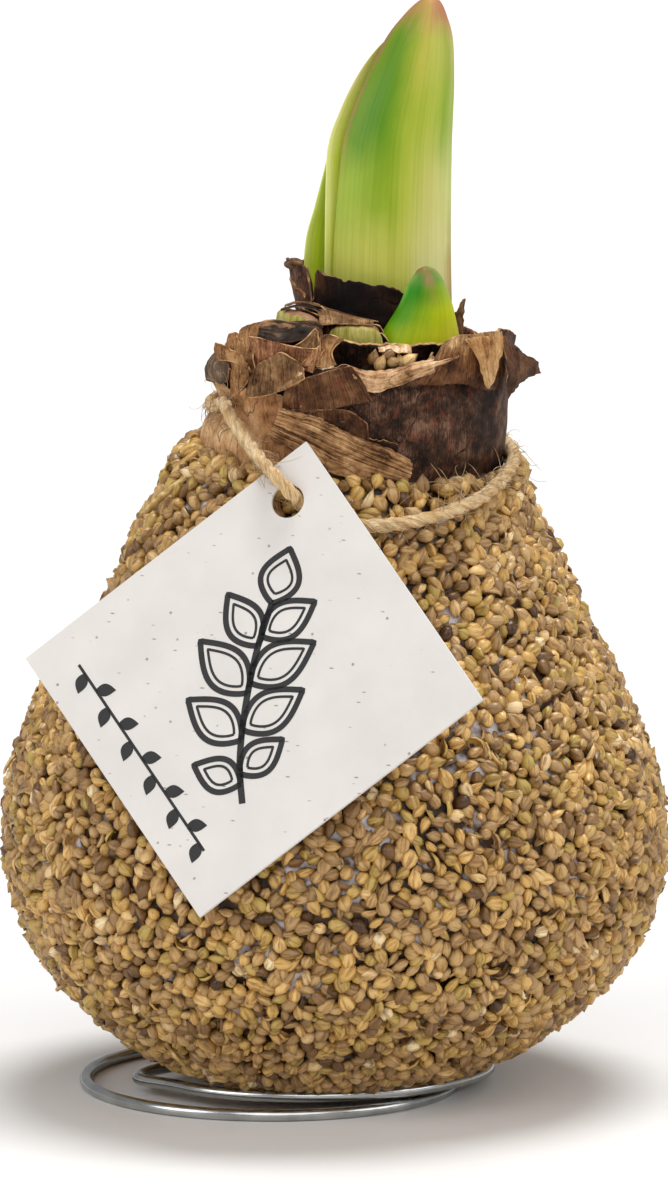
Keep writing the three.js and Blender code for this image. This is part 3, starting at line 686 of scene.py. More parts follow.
# dry skins of the neck
def skinMaterial(name, codes, red=0.25, shade=None, axis="X", tufts=0.48):
    # dry bulb tunic: papery brown skin, matt, with fine fibres along it, creases darkened with painted shade,
    # and rusty patches
    shadowToGlint = list(zip((0.4, 0.47, 0.53, 0.61), codes))
    material, add = newMaterial(name)
    chart, place = add("UVMap", uv_map="UVMap"), add("TexCoord", "Object")
    # UV is in millimetres: a fibre is about 0.2 mm wide and 12 mm long, a tuft 0.3 mm and 1 mm, a patch 5 mm
    wide = add("Mapping", Vector=chart, Scale=(5, 0.08, 1))
    fibres = add("TexNoise", "Fac", Vector=wide, Scale=1, Detail=2, Roughness=0.5, Distortion=0.4)
    fine = add("Mapping", Vector=chart, Scale=(3.6, 0.9, 1))
    threads = add("TexNoise", "Fac", Vector=fine, Scale=1, Detail=4, Roughness=0.75)
    blotches = add("TexNoise", "Fac", Vector=place, Scale=1 / (5 * mm), Detail=7, Roughness=0.68)
    both = add("MixRGB", Fac=tufts, Color1=fibres, Color2=threads)
    blend = add("MixRGB", Fac=0.58, Color1=both, Color2=blotches)
    tones = add("ValToRGB", "Color", Fac=blend, stops=shadowToGlint)
    # creases are thin lines about 7 mm apart that lie mostly along the fibres, strong in some places only;
    # each is dented by the bump and darkened toward the darkest colour as painted shade
    folded = add("Mapping", Vector=chart, Scale=(0.15, 0.06, 1))
    waves = add("TexNoise", "Fac", Vector=folded, Scale=1, Detail=2, Roughness=0.4, Distortion=0.3)
    off = add("Math", operation="SUBTRACT", values=(waves, 0.5))
    away = add("Math", operation="ABSOLUTE", values=(off,))
    crease = add("MapRange", Value=away, From_Max=0.006, To_Min=0.8, To_Max=0)
    strength = add("MapRange", Value=blotches, From_Min=0.42, From_Max=0.62)
    creaseDentAndShade = add("Math", operation="MULTIPLY", values=(crease, strength))
    # painted shade in the creases
    creaseShaded = add("MixRGB", Fac=creaseDentAndShade, Color1=tones, Color2=colour(codes[0]))
    rust = add("TexNoise", "Fac", Vector=place, Scale=1 / (2.2 * mm), Detail=4)
    rusty = add("MapRange", Value=rust, From_Min=0.55, From_Max=0.72, To_Max=red)
    skin = add("MixRGB", Fac=rusty, Color1=creaseShaded, Color2=colour("#8E4A30"))
    if shade:  # tints at places along an axis, in millimetres
        low, high = shade[0][0], shade[-1][0]
        along = add("SeparateXYZ", axis, Vector=place)
        across = add("MapRange", Value=along, From_Min=low * mm, From_Max=high * mm)
        tints = [((x - low) / (high - low), code) for x, code in shade]
        tint = add("ValToRGB", "Color", Fac=across, stops=tints)
        skin = add("MixRGB", blend_type="MULTIPLY", Fac=1, Color1=skin, Color2=tint)
    height = add("Math", operation="SUBTRACT", values=(blend, creaseDentAndShade))
    bump = add("Bump", Strength=1, Distance=0.5 * mm, Height=height)
    return finished(material, Roughness=0.6, Specular_IOR_Level=0.18, Base_Color=skin, Normal=bump)


skins = {
    "dark": skinMaterial("darkTunic", ("#080301", "#2C1A11", "#4E3426", "#866450"), 0.5, tufts=0.75),
    # the collar's tints darken its middle, between x -1.6 and 13 mm, nearly to black: painted shade inside
    # the throat
    "collar": skinMaterial("shadedCollarTunic", ("#120905", "#432A1E", "#6E4A36", "#A47C5E"), 0.3, [
        (-6.5, "#FFFFFF"), (-4.8, "#D8CCC6"), (-1.6, "#4E3E38"), (2, "#3C2E2A"),
        (13, "#6A5A52"), (18, "#B0A49C")]),
    # near black: painted shade of the deep hollow between the outer and middle skins, used for the middle
    # skin and the throat's inner skins
    "black": skinMaterial("shadedInnerTunic", ("#040201", "#160B07", "#35221A", "#7A5038"), 0.3),
    "rust": skinMaterial("rustyTunic", ("#2A1608", "#68482E", "#8C6646", "#C69C6E"), 0.25),
    "peel": skinMaterial("peelingTunic", ("#704A28", "#C6986A", "#E4B988", "#FFE4B6"), 0.3, [
        (-22, "#FFFFFF"), (-16.5, "#F4EAE0"), (-12, "#D8C8BC"), (-6, "#B8A49A"),
        (-1, "#62504A"), (3, "#46383A")]),
    "tan": skinMaterial("oldTunic", ("#36200E", "#7C5432", "#A2764A", "#D2A774"), 0.2),
    "brown": skinMaterial("brownTunic", ("#1E0E04", "#462814", "#603E26", "#866040"), 0.3),
    "olive": skinMaterial("greyedTunic", ("#2C1A0C", "#6A4A2E", "#8C6845", "#BE986C"), 0.12),
    "pink": skinMaterial("rosyTunic", ("#341A0B", "#764A2F", "#9C6A48", "#D09E74"), 0.4),
    "taupe": skinMaterial("greyTunic", ("#1C130E", "#4A382C", "#69533F", "#A08A76"), 0.1),
    "pale": skinMaterial("paleTunic", ("#5E3A1C", "#B48A60", "#D6AE84", "#FFE8C4"), 0.3),
    "gold": skinMaterial("goldenTunic", ("#5E4226", "#B08A5C", "#D4AE7C", "#F8DCA8"), 0.1, [
        (119, "#FFFFFF"), (123, "#FCF2E8"), (127, "#D4BEA6"), (128.5, "#E4D2BE")], "Z"),
    "grey": skinMaterial("weatheredTunic", ("#040201", "#1C120B", "#362619", "#705C48"), 0.1),
    "ribbed": skinMaterial("ribbedTunic", ("#482C14", "#966E48", "#BC9062", "#E0BA8C"), 0.15, tufts=0),
    "flap": skinMaterial("foldedTunic", ("#3A200E", "#85603C", "#B48A5C", "#ECC894"), 0.15, [
        (117.5, "#7E6C66"), (121, "#927C74"), (124.8, "#B09A90"), (126, "#DCCAB8"), (127.2, "#FFFFFF")], "Z"),
}
# torn rims are paler than their skins: partly the torn fibres' own colour, partly a painted highlight where
# light catches the edge
tornEdgeAndHighlight = flatMaterial("tornEdgeAndHighlight", [(0.35, "#9A6C40"), (0.5, "#C2935F"), (0.65, "#E6C08C")], 1.5, 0.7)
darkEdge = flatMaterial("darkEdge", [(0.35, "#4A2E1E"), (0.5, "#7A5238"), (0.65, "#B4875C")], 1.5, 0.7)


tornEdges = {  # share and size of a torn edge's bites, of its nicks, and of its teeth, which only stick out
    "rim": ((1, 2.6), (0.7, 0.9), (0.8, 0.4)),
    "scrap": ((1, 1.8), (0.7, 0.7), (0.5, 0.3)),
}
folds = {  # depth and size of the large folds and of the small ones
    "tunic": ((0.5, 6), (0.3, 2.4)),
    "scrap": ((0.32, 3), (0.18, 1.4)),
}


def ragged(kind, point, seed, apart=0):
    edges = (share * rough(point, size, seed + apart * k) for k, (share, size) in enumerate(tornEdges[kind]))
    bites, nicks, teeth = edges
    return bites + nicks + abs(teeth)


def crumpled(kind, point, seed):  # sharp folds with rounded valleys between them
    return sum(
        depth * (1 - 2.6 * abs(rough(point, size, seed + k))) for k, (depth, size) in enumerate(folds[kind])
    )


def rimAt(settings, ring, degrees):  # the height of a torn rim there, with its bites, nicks and teeth
    rim = around(settings["rim"], degrees) + settings["tear"] * ragged("rim", ring, settings["seed"], 1)
    for centre, width, depth in settings.get("notches", ()):
        rim -= depth * math.exp(-((((degrees - centre + 180) % 360 - 180) / width) ** 2))
    return rim


def grooveAt(settings, ring, degrees, height):  # a groove's ends fade out
    groove, fade = 0, 12
    for low, high, level, depth, width in settings.get("grooves", ()):
        within = smoothStep(degrees, low, low + fade) * (1 - smoothStep(degrees, high - fade, high))
        off = height - level - 0.4 * rough(ring, 5, settings["seed"] + 7)
        groove += depth * within * math.exp(-((off / width) ** 2))
    return groove


def tunicSheet(settings, place):
    # a standing skin round the neck, torn along its rim and crumpled, more so towards the rim
    start, end = settings.get("degrees", (0, 360))
    radius, foot, seed = settings["radius"], settings["foot"], settings["seed"]
    slant = settings.get("slant", 0)
    arc = math.radians(end - start) * radius

    def at(u, v):
        degrees = mix(start + slant * (v + 0.3 * rough((0, 0, v * 9), 1.5, seed)), end, u)
        turn = math.radians(degrees)
        ring = Vector((math.cos(turn), math.sin(turn), 0)) * radius
        height = mix(foot, rimAt(settings, ring, degrees), v)
        flare = around(settings["rim"], degrees, 2) * v ** settings.get("bend", 3)
        spot = ring + Vector((0, 0, height * 0.6))
        wrinkle = settings["crumple"] * crumpled("tunic", spot, seed + 3) * (0.3 + 0.7 * v)
        ribs = 0.09 * rough((ring.x, ring.y, height * 0.08), 0.7, seed + 5)
        curl = settings.get("curl", 0.5) * max(0, v - 0.85) / 0.15 * rough(ring, 4, seed + 6)
        groove = grooveAt(settings, ring, degrees, height)
        return place(radius + flare + wrinkle + ribs + curl - groove, degrees, height)

    return gridSheet(settings["columns"], settings["rows"], at, closed=end - start == 360, size=(arc, 20))


outerTunic = {
    "radius": 24.1, "foot": 104, "columns": 210, "rows": 36, "tear": 0.55, "crumple": 0.46, "seed": 1,
    "notches": [  # degrees, width and depth
        (34, 2.5, 3), (62, 1.6, 4.6), (70, 5, 2), (104, 3, 3.4), (131, 1.5, 5), (138, 6, 1.6), (158, 2, 3),
    ],
    "grooves": [(272, 345, 120.6, 1, 0.5), (284, 330, 119.2, 0.35, 0.5)],  # from, to, height, depth and width
    "rim": [  # degrees, height and flare
        (0, 125.6, 1.2), (22, 123.5, 1), (60, 124, 0.8), (110, 124.5, 0.8), (150, 123, 0.6),
        (180, 121.2, 0.4), (210, 121.6, 0.4), (235, 122.6, 0.3), (253, 123.8, 0.6), (266, 124.6, 1),
        (278, 121.6, 1.2), (296, 122.8, 1), (308, 127, 0.8), (338, 128.2, 1),
    ],
}
peelingTunic = {
    "radius": 25, "foot": 105, "degrees": (144, 285), "columns": 150, "rows": 36, "tear": 0.5,
    "crumple": 0.95, "seed": 2, "slant": 22,
    "grooves": [(150, 225, 111, -0.9, 4)],  # from, to, height, depth and width
    "rim": [  # degrees, height and flare
        (150, 118.5, 0.4), (180, 119.4, 0.2), (215, 119.2, 0.6), (235, 119.6, 0.6), (246, 118.6, 0.4),
        (254, 116.8, 0.2), (266, 115.4, 0.2), (276, 112.4, 0.4), (292, 110.6, 0.3),
    ],
}
middleTunic = {
    "radius": 16.4, "foot": 115, "columns": 210, "rows": 20, "tear": 0.4, "crumple": 0.3, "seed": 3,
    "bend": 6, "curl": 0.6,
    "rim": [  # degrees, height and flare
        (0, 125.8, 1.5), (90, 126.4, 1.2), (180, 125.6, 1.2), (205, 127, 1.4), (228, 128.6, 1.4),
        (250, 128, 1.5), (270, 127.4, 1.7), (290, 127.2, 1.7), (310, 126.8, 1.6),
    ],
}
collar = {
    "radius": 13.2, "foot": 125.6, "columns": 170, "rows": 24, "tear": 0.35, "crumple": 0.5, "seed": 4,
    "curl": 0.7, "bend": 1.6, "centre": Vector((7.5, 1.5, 0)), "narrow": 0.76,
    "notches": [(219, 2.2, 6.8), (353, 5, -1.4), (196, 4, 0.6)],  # degrees, width and depth
    "rim": [  # degrees, height and flare
        (0, 129, 0.2), (20, 128.6, -0.6), (45, 130, 0), (90, 135.5, 0.4), (135, 137, 0.6),
        (165, 137.4, 1.6), (182, 138.2, 1.7), (196, 138.2, 1.2), (210, 138, 0.8), (223, 137.6, 0.5),
        (234, 136.6, 0.4), (246, 135.6, 0.3), (258, 135.7, 0.5), (266, 135.3, 0.4), (278, 134.8, 0.3),
        (290, 133.4, 0.3), (320, 129, 0.2),
    ],
}


def collarPlace(radius, degrees, height):
    a = math.radians(degrees)
    inner = collar["radius"] * (1 - collar["narrow"])
    return collar["centre"] + Vector((radius * math.cos(a), (radius - inner) * math.sin(a), height))


scraps = {  # loose pieces of skin at the front of the neck: rows of points, from the lower edge to the upper
    "striped_fan": {"skin": "ribbed", "tear": 0.5, "ridges": (8, 0.2), "grain": "long", "curl": 0.3,
                    "fine": 0.16, "net": [
        [(-10.6, -22.3, 112.4), (-5.6, -24.4, 109.8), (-1.5, -25.3, 107.3), (2.6, -25.9, 105.9),
         (7.6, -25.6, 104.8), (11.4, -24.8, 104)],
        [(-9.6, -23.2, 115.2), (-4.2, -25, 113.4), (0.2, -25.9, 111.4), (4.3, -26.2, 109.6),
         (8.4, -25.8, 107.9), (12.4, -24.8, 106.2)],
        [(-8.8, -23.6, 117.4), (-3, -25.6, 116.2), (1.4, -26.2, 114.1), (5.2, -26.3, 112.4),
         (9.2, -25.9, 110.9), (12.9, -24.7, 108.5)]]},
    "corner_scrap": {"skin": "brown", "tear": 0.2, "curl": 0.5, "net": [
        [(-7.6, -22.8, 110.9), (-2, -24.8, 110.5), (1.8, -25.4, 110.4), (4, -25.6, 110.4),
         (5.4, -25.6, 110.6)],
        [(-7.6, -23.1, 114.3), (-2, -25.1, 114.2), (1.8, -25.6, 114.1), (4.3, -25.8, 113.3),
         (5.7, -25.8, 112.6)],
        [(-6.6, -23.8, 117.2), (-2, -25.2, 117.4), (1.5, -25.8, 117.5), (3.8, -25.9, 116.5),
         (5.4, -25.9, 115.2)]]},
    "lower_lip": {"skin": "brown", "tear": 0.3, "curl": 0.4, "net": [
        [(-8.6, -22.9, 115.9), (-3.3, -24.9, 116.9), (-0.7, -25.5, 117.3), (2.3, -25.9, 118.1),
         (6.3, -25.8, 118.9)],
        [(-8.3, -23.7, 118.7), (-4, -25.4, 120), (-1.5, -26, 120.9), (1.2, -26.5, 121.7),
         (4.8, -26.6, 122.1)],
        [(-7.8, -24.5, 121), (-4.5, -25.8, 122.7), (-2, -26.4, 123.6), (0.3, -26.9, 124.4),
         (2.9, -27.1, 124.9)]]},
    "rolled_lip": {"skin": "pale", "tear": 0.4, "grain": "long", "curl": 0.3, "net": [
        [(2.6, -26.3, 123.3), (4.6, -26.3, 121.1), (7, -26.1, 120.3), (9.8, -25.6, 121.2),
         (12.9, -24.7, 122.2), (16.6, -23.1, 123.4), (20, -20.8, 125.2)],
        [(2.5, -26.8, 124.4), (4.5, -26.8, 122.7), (7, -26.6, 122.2), (9.6, -26.2, 122.6),
         (12.7, -25.3, 123.7), (16.4, -23.7, 124.7), (20.2, -21.3, 125.6)],
        [(2.3, -25.1, 124.8), (4.3, -25.1, 124), (6.8, -24.9, 123.8), (9.4, -24.5, 124),
         (12.6, -23.6, 124.9), (16.4, -21.8, 125.2), (20.4, -18.9, 125.4)]]},
    "right_flap": {"skin": "flap", "tear": 0.3, "curl": -0.3, "net": [
        [(13.2, -23.9, 121.3), (16.9, -22.3, 120.9), (20.2, -20.3, 120.9), (22.8, -17.9, 119.9),
         (25.2, -15, 118.9), (27.3, -11.6, 118.5)],
        [(15.4, -23.8, 124), (18.2, -22.6, 124.4), (20.9, -20.9, 124.5), (23.2, -18.8, 123.9),
         (25.6, -16, 123.3), (27.8, -12.6, 123)],
        [(17.6, -21.4, 127.4), (19.5, -20.3, 128.6), (21.3, -18.9, 128.8), (23.4, -16.7, 128.5),
         (25.4, -14, 128.5), (27.4, -10.4, 127.9)]]},
    "right_wing": {"skin": "brown", "tear": 0.14, "curl": 0.2, "net": [
        [(28.3, -12.6, 117.1), (29.5, -9.5, 117.8), (30.8, -5.5, 118.7), (32.3, -1.5, 119),
         (33.9, 1.4, 119)],
        [(28, -14.2, 122.4), (29.5, -10.5, 122.2), (31, -6.5, 121.7), (32.5, -2.5, 120.6),
         (33.9, 1.2, 119.7)],
        [(27.6, -12.4, 127.6), (29, -9, 125.7), (30.6, -5.4, 123.9), (32.1, -1.8, 122.3),
         (33.8, 1, 120.9)]]},
    "flap_tongue": {"skin": "gold", "tear": 0.3, "curl": -0.1, "fine": 0.4, "net": [
        [(24.6, -18.9, 120.4), (25.2, -18.3, 119.7), (25.8, -17.4, 120.2)],
        [(24, -19.4, 122.5), (25.2, -18.7, 122.2), (26.5, -16.2, 122.2)],
        [(23.2, -20.1, 125.4), (25, -19, 125.3), (27.5, -13.8, 124.6)],
        [(21.4, -20.8, 128.3), (24.6, -17.8, 128.4), (27.8, -11.8, 127.3)]]},
    "collar_knob": {"skin": "rust", "tear": 0.1, "curl": 0.2, "grain": "long", "fine": 0.2, "net": [
        [(-7.5, 1.2, 136.8), (-6.8, -0.7, 136.7), (-6, -2, 137), (-5.1, -2.8, 137.3)],
        [(-7.9, 0.6, 137.3), (-7.1, -1.9, 138), (-6, -3.1, 138.4), (-4.8, -3.7, 138.2)],
        [(-7.4, 1.6, 137.7), (-6.6, -0.2, 138.5), (-5.6, -1.6, 138.6), (-4.6, -2.7, 138.3)]]},
    "collar_crease": {"skin": "tan", "tear": 0.08, "curl": 0.1, "grain": "long", "fine": 0.12, "net": [
        [(-7.1, -1.8, 135.2), (-6.3, -3.8, 134.2), (-5.3, -5.2, 133.4), (-4.6, -6, 132.7)],
        [(-7.1, -2, 135.4), (-6.2, -4, 134.4), (-5.2, -5.5, 133.7), (-4.5, -6.3, 133)],
        [(-7, -1.8, 135.7), (-6.1, -3.8, 134.7), (-5.1, -5.2, 133.9), (-4.4, -6, 133.2)]]},
    "knob_flap": {"skin": "taupe", "tear": 0.12, "curl": 0.5, "net": [
        [(-20.4, -9.3, 119.5), (-19.1, -12.3, 119.7), (-17.9, -14.3, 119.9), (-16.8, -16, 120.8)],
        [(-21.1, -9.2, 121.2), (-19.8, -12.7, 122), (-18.1, -15.5, 122.7), (-16.8, -16.9, 123.2)],
        [(-19.8, -9.9, 123.8), (-18.8, -12, 124.9), (-17.8, -13.8, 124.8), (-16.8, -15.3, 124.2)]]},
    "taupe_panel": {"skin": "tan", "tear": 0.15, "curl": 0.3, "net": [
        [(-16.6, -16.4, 118.2), (-15.6, -17.5, 118.6), (-14.4, -18.7, 120.2), (-13.6, -19.5, 122)],
        [(-16.7, -16.8, 121.2), (-15.6, -18.3, 121.7), (-14.4, -19.5, 122.8), (-13.6, -20.1, 123.4)],
        [(-16.7, -16.2, 123.9), (-15.6, -17.5, 124.5), (-14.6, -18.6, 124.3), (-13.6, -19.5, 123.8)]]},
    "frill_low": {"skin": "tan", "tear": 0.45, "curl": 0.5, "net": [
        [(-19, -13.9, 123.7), (-17.4, -16.3, 124.1), (-15.9, -18.1, 124.1), (-14.6, -19.4, 123.6),
         (-13.4, -20.5, 123)],
        [(-19.2, -14.9, 125.4), (-17.5, -17.2, 125.4), (-16.1, -18.9, 125.1), (-14.7, -20.2, 124.4),
         (-13.6, -21.2, 123.6)],
        [(-19, -13.9, 126.7), (-17.7, -15.8, 126.5), (-16.2, -17.7, 126), (-14.9, -19.1, 125.1),
         (-13.7, -20.2, 124.1)]]},
    "frill_mid": {"skin": "tan", "tear": 0.45, "curl": 0.4, "net": [
        [(-17.2, -15.5, 125), (-15.9, -17.2, 123.9), (-14.6, -18.6, 122.9), (-12.6, -20.1, 122)],
        [(-17.2, -16.5, 127), (-15.7, -18.2, 126.8), (-14.4, -19.6, 126.2), (-12.9, -20.8, 125.5)],
        [(-16.9, -14.9, 128.2), (-15.9, -16.2, 128.8), (-14.6, -17.7, 128.5), (-13.1, -19, 128.4)]]},
    "frill_top": {"skin": "tan", "tear": 0.4, "curl": 0.3, "net": [
        [(-15.2, -17.3, 128), (-13.9, -18.7, 127.6), (-12.3, -19.9, 127.4)],
        [(-15.1, -16.6, 129), (-13.7, -18, 129.3), (-12.3, -19.3, 129.8)],
        [(-14.6, -15.6, 129.5), (-13.2, -17.1, 130.3), (-11.8, -18.5, 130.9)]]},
    "pink_panel": {"skin": "pink", "tear": 0.3, "curl": 0.5, "net": [
        [(-13.6, -19, 121.9), (-11.4, -20.8, 122.4), (-9.3, -22.2, 123.4), (-7.3, -23.3, 124.1),
         (-5.3, -24.1, 123.9), (-3.3, -24.8, 123.4)],
        [(-13.6, -19.9, 125.9), (-11.3, -21.7, 126.2), (-8.9, -23.2, 126.7), (-6.8, -24.2, 126.7),
         (-4.8, -25, 126.3), (-2.8, -25.6, 126.1)],
        [(-13.6, -19.4, 128.7), (-11.3, -21.2, 128.5), (-8.9, -22.7, 128), (-6.6, -23.9, 127.7),
         (-4.6, -24.7, 127.5), (-2.5, -25.3, 127.5)]]},
    "olive_panel": {"skin": "olive", "tear": 0.2, "curl": 0.4, "net": [
        [(-13.1, -20.7, 120.6), (-9.8, -22.9, 120.9), (-7.8, -24, 120.7), (-6.1, -24.7, 121.2),
         (-4.8, -25.2, 122.6)],
        [(-12.8, -21.7, 122.9), (-9.9, -23.4, 123.8), (-7.9, -24.5, 124.4), (-6.3, -25.2, 124.4),
         (-4.8, -25.8, 123.9)],
        [(-12.5, -21.3, 124), (-10.3, -22.7, 125.6), (-8.4, -23.8, 126.7), (-7, -24.5, 126),
         (-5.1, -25.2, 124.6)]]},
    "curled_lip": {"skin": "olive", "tear": 0.25, "curl": 0.5, "net": [
        [(-14.1, -20.9, 118.6), (-11.8, -22.7, 119.1), (-9.6, -24.1, 119.9), (-7.6, -25.1, 120.8),
         (-6.1, -25.7, 121.8), (-4.6, -26.2, 122.7)],
        [(-13.9, -20.9, 120.4), (-11.8, -22.5, 120.8), (-9.6, -23.9, 121.3), (-7.6, -24.9, 121.9),
         (-6.1, -25.6, 122.6), (-4.8, -26, 123.3)],
        [(-13.6, -19.1, 122.2), (-11.6, -20.8, 122.5), (-9.6, -22.2, 122.6), (-7.6, -23.2, 122.6),
         (-6.1, -23.8, 123.1), (-5, -24.3, 124.1)]]},
    "tan_point": {"skin": "pink", "tear": 0.1, "curl": 0.3, "net": [
        [(-5.6, -24.6, 124.4), (-4.1, -25.1, 124.6), (-2.6, -25.6, 124.9)],
        [(-4.5, -25.2, 125.8), (-3.1, -25.6, 126.2), (-2.2, -25.9, 126.3)],
        [(-2.3, -25.2, 128), (-2, -25.3, 128.2), (-1.3, -25.5, 127.7)]]},
    "orange_curl": {"skin": "tan", "tear": 0.2, "curl": 0.4, "net": [
        [(-2.9, -25, 124.4), (-1.5, -25.4, 124.4), (0.4, -25.5, 124.8)],
        [(-2.3, -25.5, 126.6), (-1.2, -25.8, 127), (-0.2, -25.9, 127.2)],
        [(-2.1, -24.8, 129.3), (-0.7, -25, 129.9), (1.6, -25.2, 129)]]},
    "back_point": {"skin": "olive", "tear": 0.1, "curl": 0.3, "net": [
        [(-7.1, -22.9, 127.2), (-4.2, -24, 127.1), (-1.9, -24.5, 126.9)],
        [(-4.9, -23.9, 128.6), (-3.5, -24.1, 128.9), (-2.3, -24.4, 128.5)],
        [(-3.3, -23.8, 130.3), (-3, -23.8, 130.6), (-2.6, -23.9, 130.2)]]},
    "small_point": {"skin": "pale", "tear": 0.1, "curl": 0.4, "net": [
        [(-6.8, -24.8, 121.2), (-5.8, -25.2, 121.8), (-4.8, -25.6, 122.5)],
        [(-6.1, -25.3, 122.7), (-5.5, -25.5, 123), (-4.8, -25.8, 123.4)],
        [(-5.3, -25.2, 124.3), (-5.1, -25.2, 124.5), (-4.8, -25.3, 124.2)]]},
    "right_point": {"skin": "rust", "tear": 0.1, "curl": 0.2, "fine": 0.2, "net": [
        [(19.5, -3.6, 125.6), (20.4, -4.6, 125.7), (21.4, -3.4, 125.9)],
        [(19.7, -4.2, 128.7), (20.4, -5, 129.2), (21.1, -4, 128.8)],
        [(20.4, -4.8, 131.8), (20.9, -5.2, 132.4), (21.4, -4.6, 132.5)]]},
    "folded_layer": {"skin": "grey", "tear": 0.25, "curl": 0.4, "grain": "long", "net": [
        [(-14.2, -15.4, 128), (-11.9, -18.6, 127.9), (-9.3, -20.6, 127.8), (-6.6, -21.6, 128.1),
         (-4.3, -22.3, 128.7), (-2, -22.6, 129.1)],
        [(-14.4, -13.4, 128.5), (-11.9, -16.6, 129.2), (-9.3, -18.4, 129.2), (-6.6, -19.6, 129.3),
         (-4.3, -20.6, 129.6), (-2.2, -21.4, 129.4)],
        [(-13.6, -11.6, 129.1), (-11.6, -13.6, 129.9), (-9.3, -15.4, 130.5), (-7, -16.6, 130.5),
         (-4.6, -18.2, 130.3), (-2.3, -19.6, 129.5)]]},
    "folded_edge": {"skin": "rust", "tear": 0.4, "curl": 0.3, "grain": "long", "fine": 0.2, "net": [
        [(-14.2, -13, 127.9), (-11.9, -15.8, 129.2), (-9.3, -17.4, 129.5), (-6.3, -18.9, 129.6),
         (-3.6, -19.9, 129.4)],
        [(-13.9, -12.4, 128.6), (-11.8, -14.9, 129.8), (-9.3, -16.4, 130.1), (-6.3, -17.9, 130.1),
         (-3.5, -19, 129.7)],
        [(-13.1, -10.6, 128.8), (-11.4, -12.9, 130.1), (-9.3, -14.4, 130.5), (-6.5, -15.9, 130.3),
         (-3.5, -17, 129.7)]]},
    "throat_layer_a": {"skin": "rust", "tear": 0.12, "curl": 0.2, "grain": "long", "fine": 0.12, "net": [
        [(-7.9, -9, 131.8), (-6.1, -9.4, 132.5), (-3.6, -9.6, 132.3), (-0.7, -9.6, 131.4), (3, -9.6, 130.2),
         (6.6, -9.4, 129.3)],
        [(-7.9, -9, 132), (-6.1, -9.2, 132.6), (-3.6, -9.4, 132.5), (-0.7, -9.4, 131.5), (3, -9.4, 130.4),
         (6.6, -9.2, 129.5)],
        [(-7.8, -8, 132), (-6, -8.2, 132.6), (-3.6, -8.4, 132.4), (-0.7, -8.4, 131.5), (3, -8.4, 130.3),
         (6.6, -8.2, 129.4)]]},
    "throat_layer_b": {"skin": "grey", "tear": 0.12, "curl": 0.2, "grain": "long", "fine": 0.12, "net": [
        [(-8.4, -10.6, 131.5), (-6.3, -10.9, 132.1), (-3.6, -11, 131.8), (-1.7, -11.2, 131),
         (-0.2, -11.4, 130.4)],
        [(-8.3, -10.4, 131.7), (-6.3, -10.7, 132.3), (-3.6, -10.8, 132), (-1.7, -11, 131.2),
         (-0.2, -11.2, 130.5)],
        [(-8.1, -9.4, 131.7), (-6.1, -9.7, 132.2), (-3.6, -9.8, 132), (-1.7, -10, 131.2),
         (-0.2, -10.2, 130.5)]]},
    "throat_layer_c": {"skin": "grey", "tear": 0.15, "curl": 0.2, "grain": "long", "fine": 0.15, "net": [
        [(-7.3, -15.4, 129.9), (-5, -16, 130), (-3, -16.4, 129.8), (-1.8, -16.6, 129.5)],
        [(-7.3, -15.2, 130.1), (-5, -15.8, 130.3), (-3, -16.2, 130.3), (-1.8, -16.4, 129.8)],
        [(-7, -14.2, 130.1), (-5, -14.9, 130.4), (-3.1, -15.3, 130.3), (-2, -15.5, 129.8)]]},
    "throat_layer_d": {"skin": "olive", "tear": 0.2, "curl": 0.2, "fine": 0.3, "net": [
        [(-2.3, -14.6, 129.7), (0.3, -14.9, 129.9), (3, -15, 129.9), (6.3, -14.8, 129.7)],
        [(-2.3, -12.4, 130.8), (0.3, -12.7, 130.7), (3, -12.8, 130.5), (6.6, -12.6, 130)],
        [(-2.6, -10.2, 131.6), (0, -10.4, 131.3), (3, -10.4, 130.4), (7.1, -10.2, 129.6)]]},
}


def scrapSheet(scrap, seed):
    net, tear = scrap["net"], scrap["tear"]
    width = sum((Vector(a) - Vector(b)).length for a, b in zip(net[1], net[1][1:]))
    height = sum((Vector(a[0]) - Vector(b[0])).length for a, b in zip(net, net[1:]))
    count, depth = scrap.get("ridges", (0, 0))
    long = scrap.get("grain") == "long"

    def at(u, v):
        spot = Vector((u * width, v * height, seed))
        edge = ragged("scrap", spot, seed)
        ends = max(near for w in (u, v) for near in (smoothStep(w, 0.85, 1), 1 - smoothStep(w, 0, 0.15)))
        v += tear / height * edge * (smoothStep(v, 0.6, 1) - smoothStep(v, 0.4, 0))
        u += tear / width * edge * (smoothStep(u, 0.6, 1) - smoothStep(u, 0.4, 0))
        point = Vector(curveAt([curveAt(row, u) for row in net], v))
        wrinkle = crumpled("scrap", point, seed)
        wrinkle += depth * (1 - 2 * abs(math.sin(math.pi * count * v + 0.7 * rough(point, 5, seed))))
        wrinkle += scrap["curl"] * ends * (0.5 + 0.8 * rough(point, 2.5, seed + 2))
        away = Vector((point.x - body["lean"], point.y, 0)).normalized()
        return point + away * wrinkle

    def chart(u, v):
        return (v * height, u * width) if long else (u * width, v * height)

    columns, rows = max(16, int(width / 0.38)), max(12, int(height / scrap.get("fine", 0.33)))
    return gridSheet(columns, rows, at, chart=chart)


chips = [  # broken bits of skin in the hollow behind the rolled lip, by their four corners
    ((7.5, -22, 126.6), (12.7, -22.4, 126.2), (7.1, -20.6, 127.4), (12.6, -20.6, 127.2)),
    ((15.1, -21.9, 124.7), (16.4, -21.7, 124.9), (16.1, -20.9, 126.2), (16.3, -20.9, 126.2)),
    ((-3, -24.4, 124.7), (-0.7, -24.4, 124.7), (-2.6, -24.1, 125.1), (-0.8, -24.1, 125.3)),
    ((-2.6, -24.8, 123.9), (-0.2, -24.8, 124.1), (-2.8, -24.5, 124.4), (-0.3, -24.5, 124.5)),
]


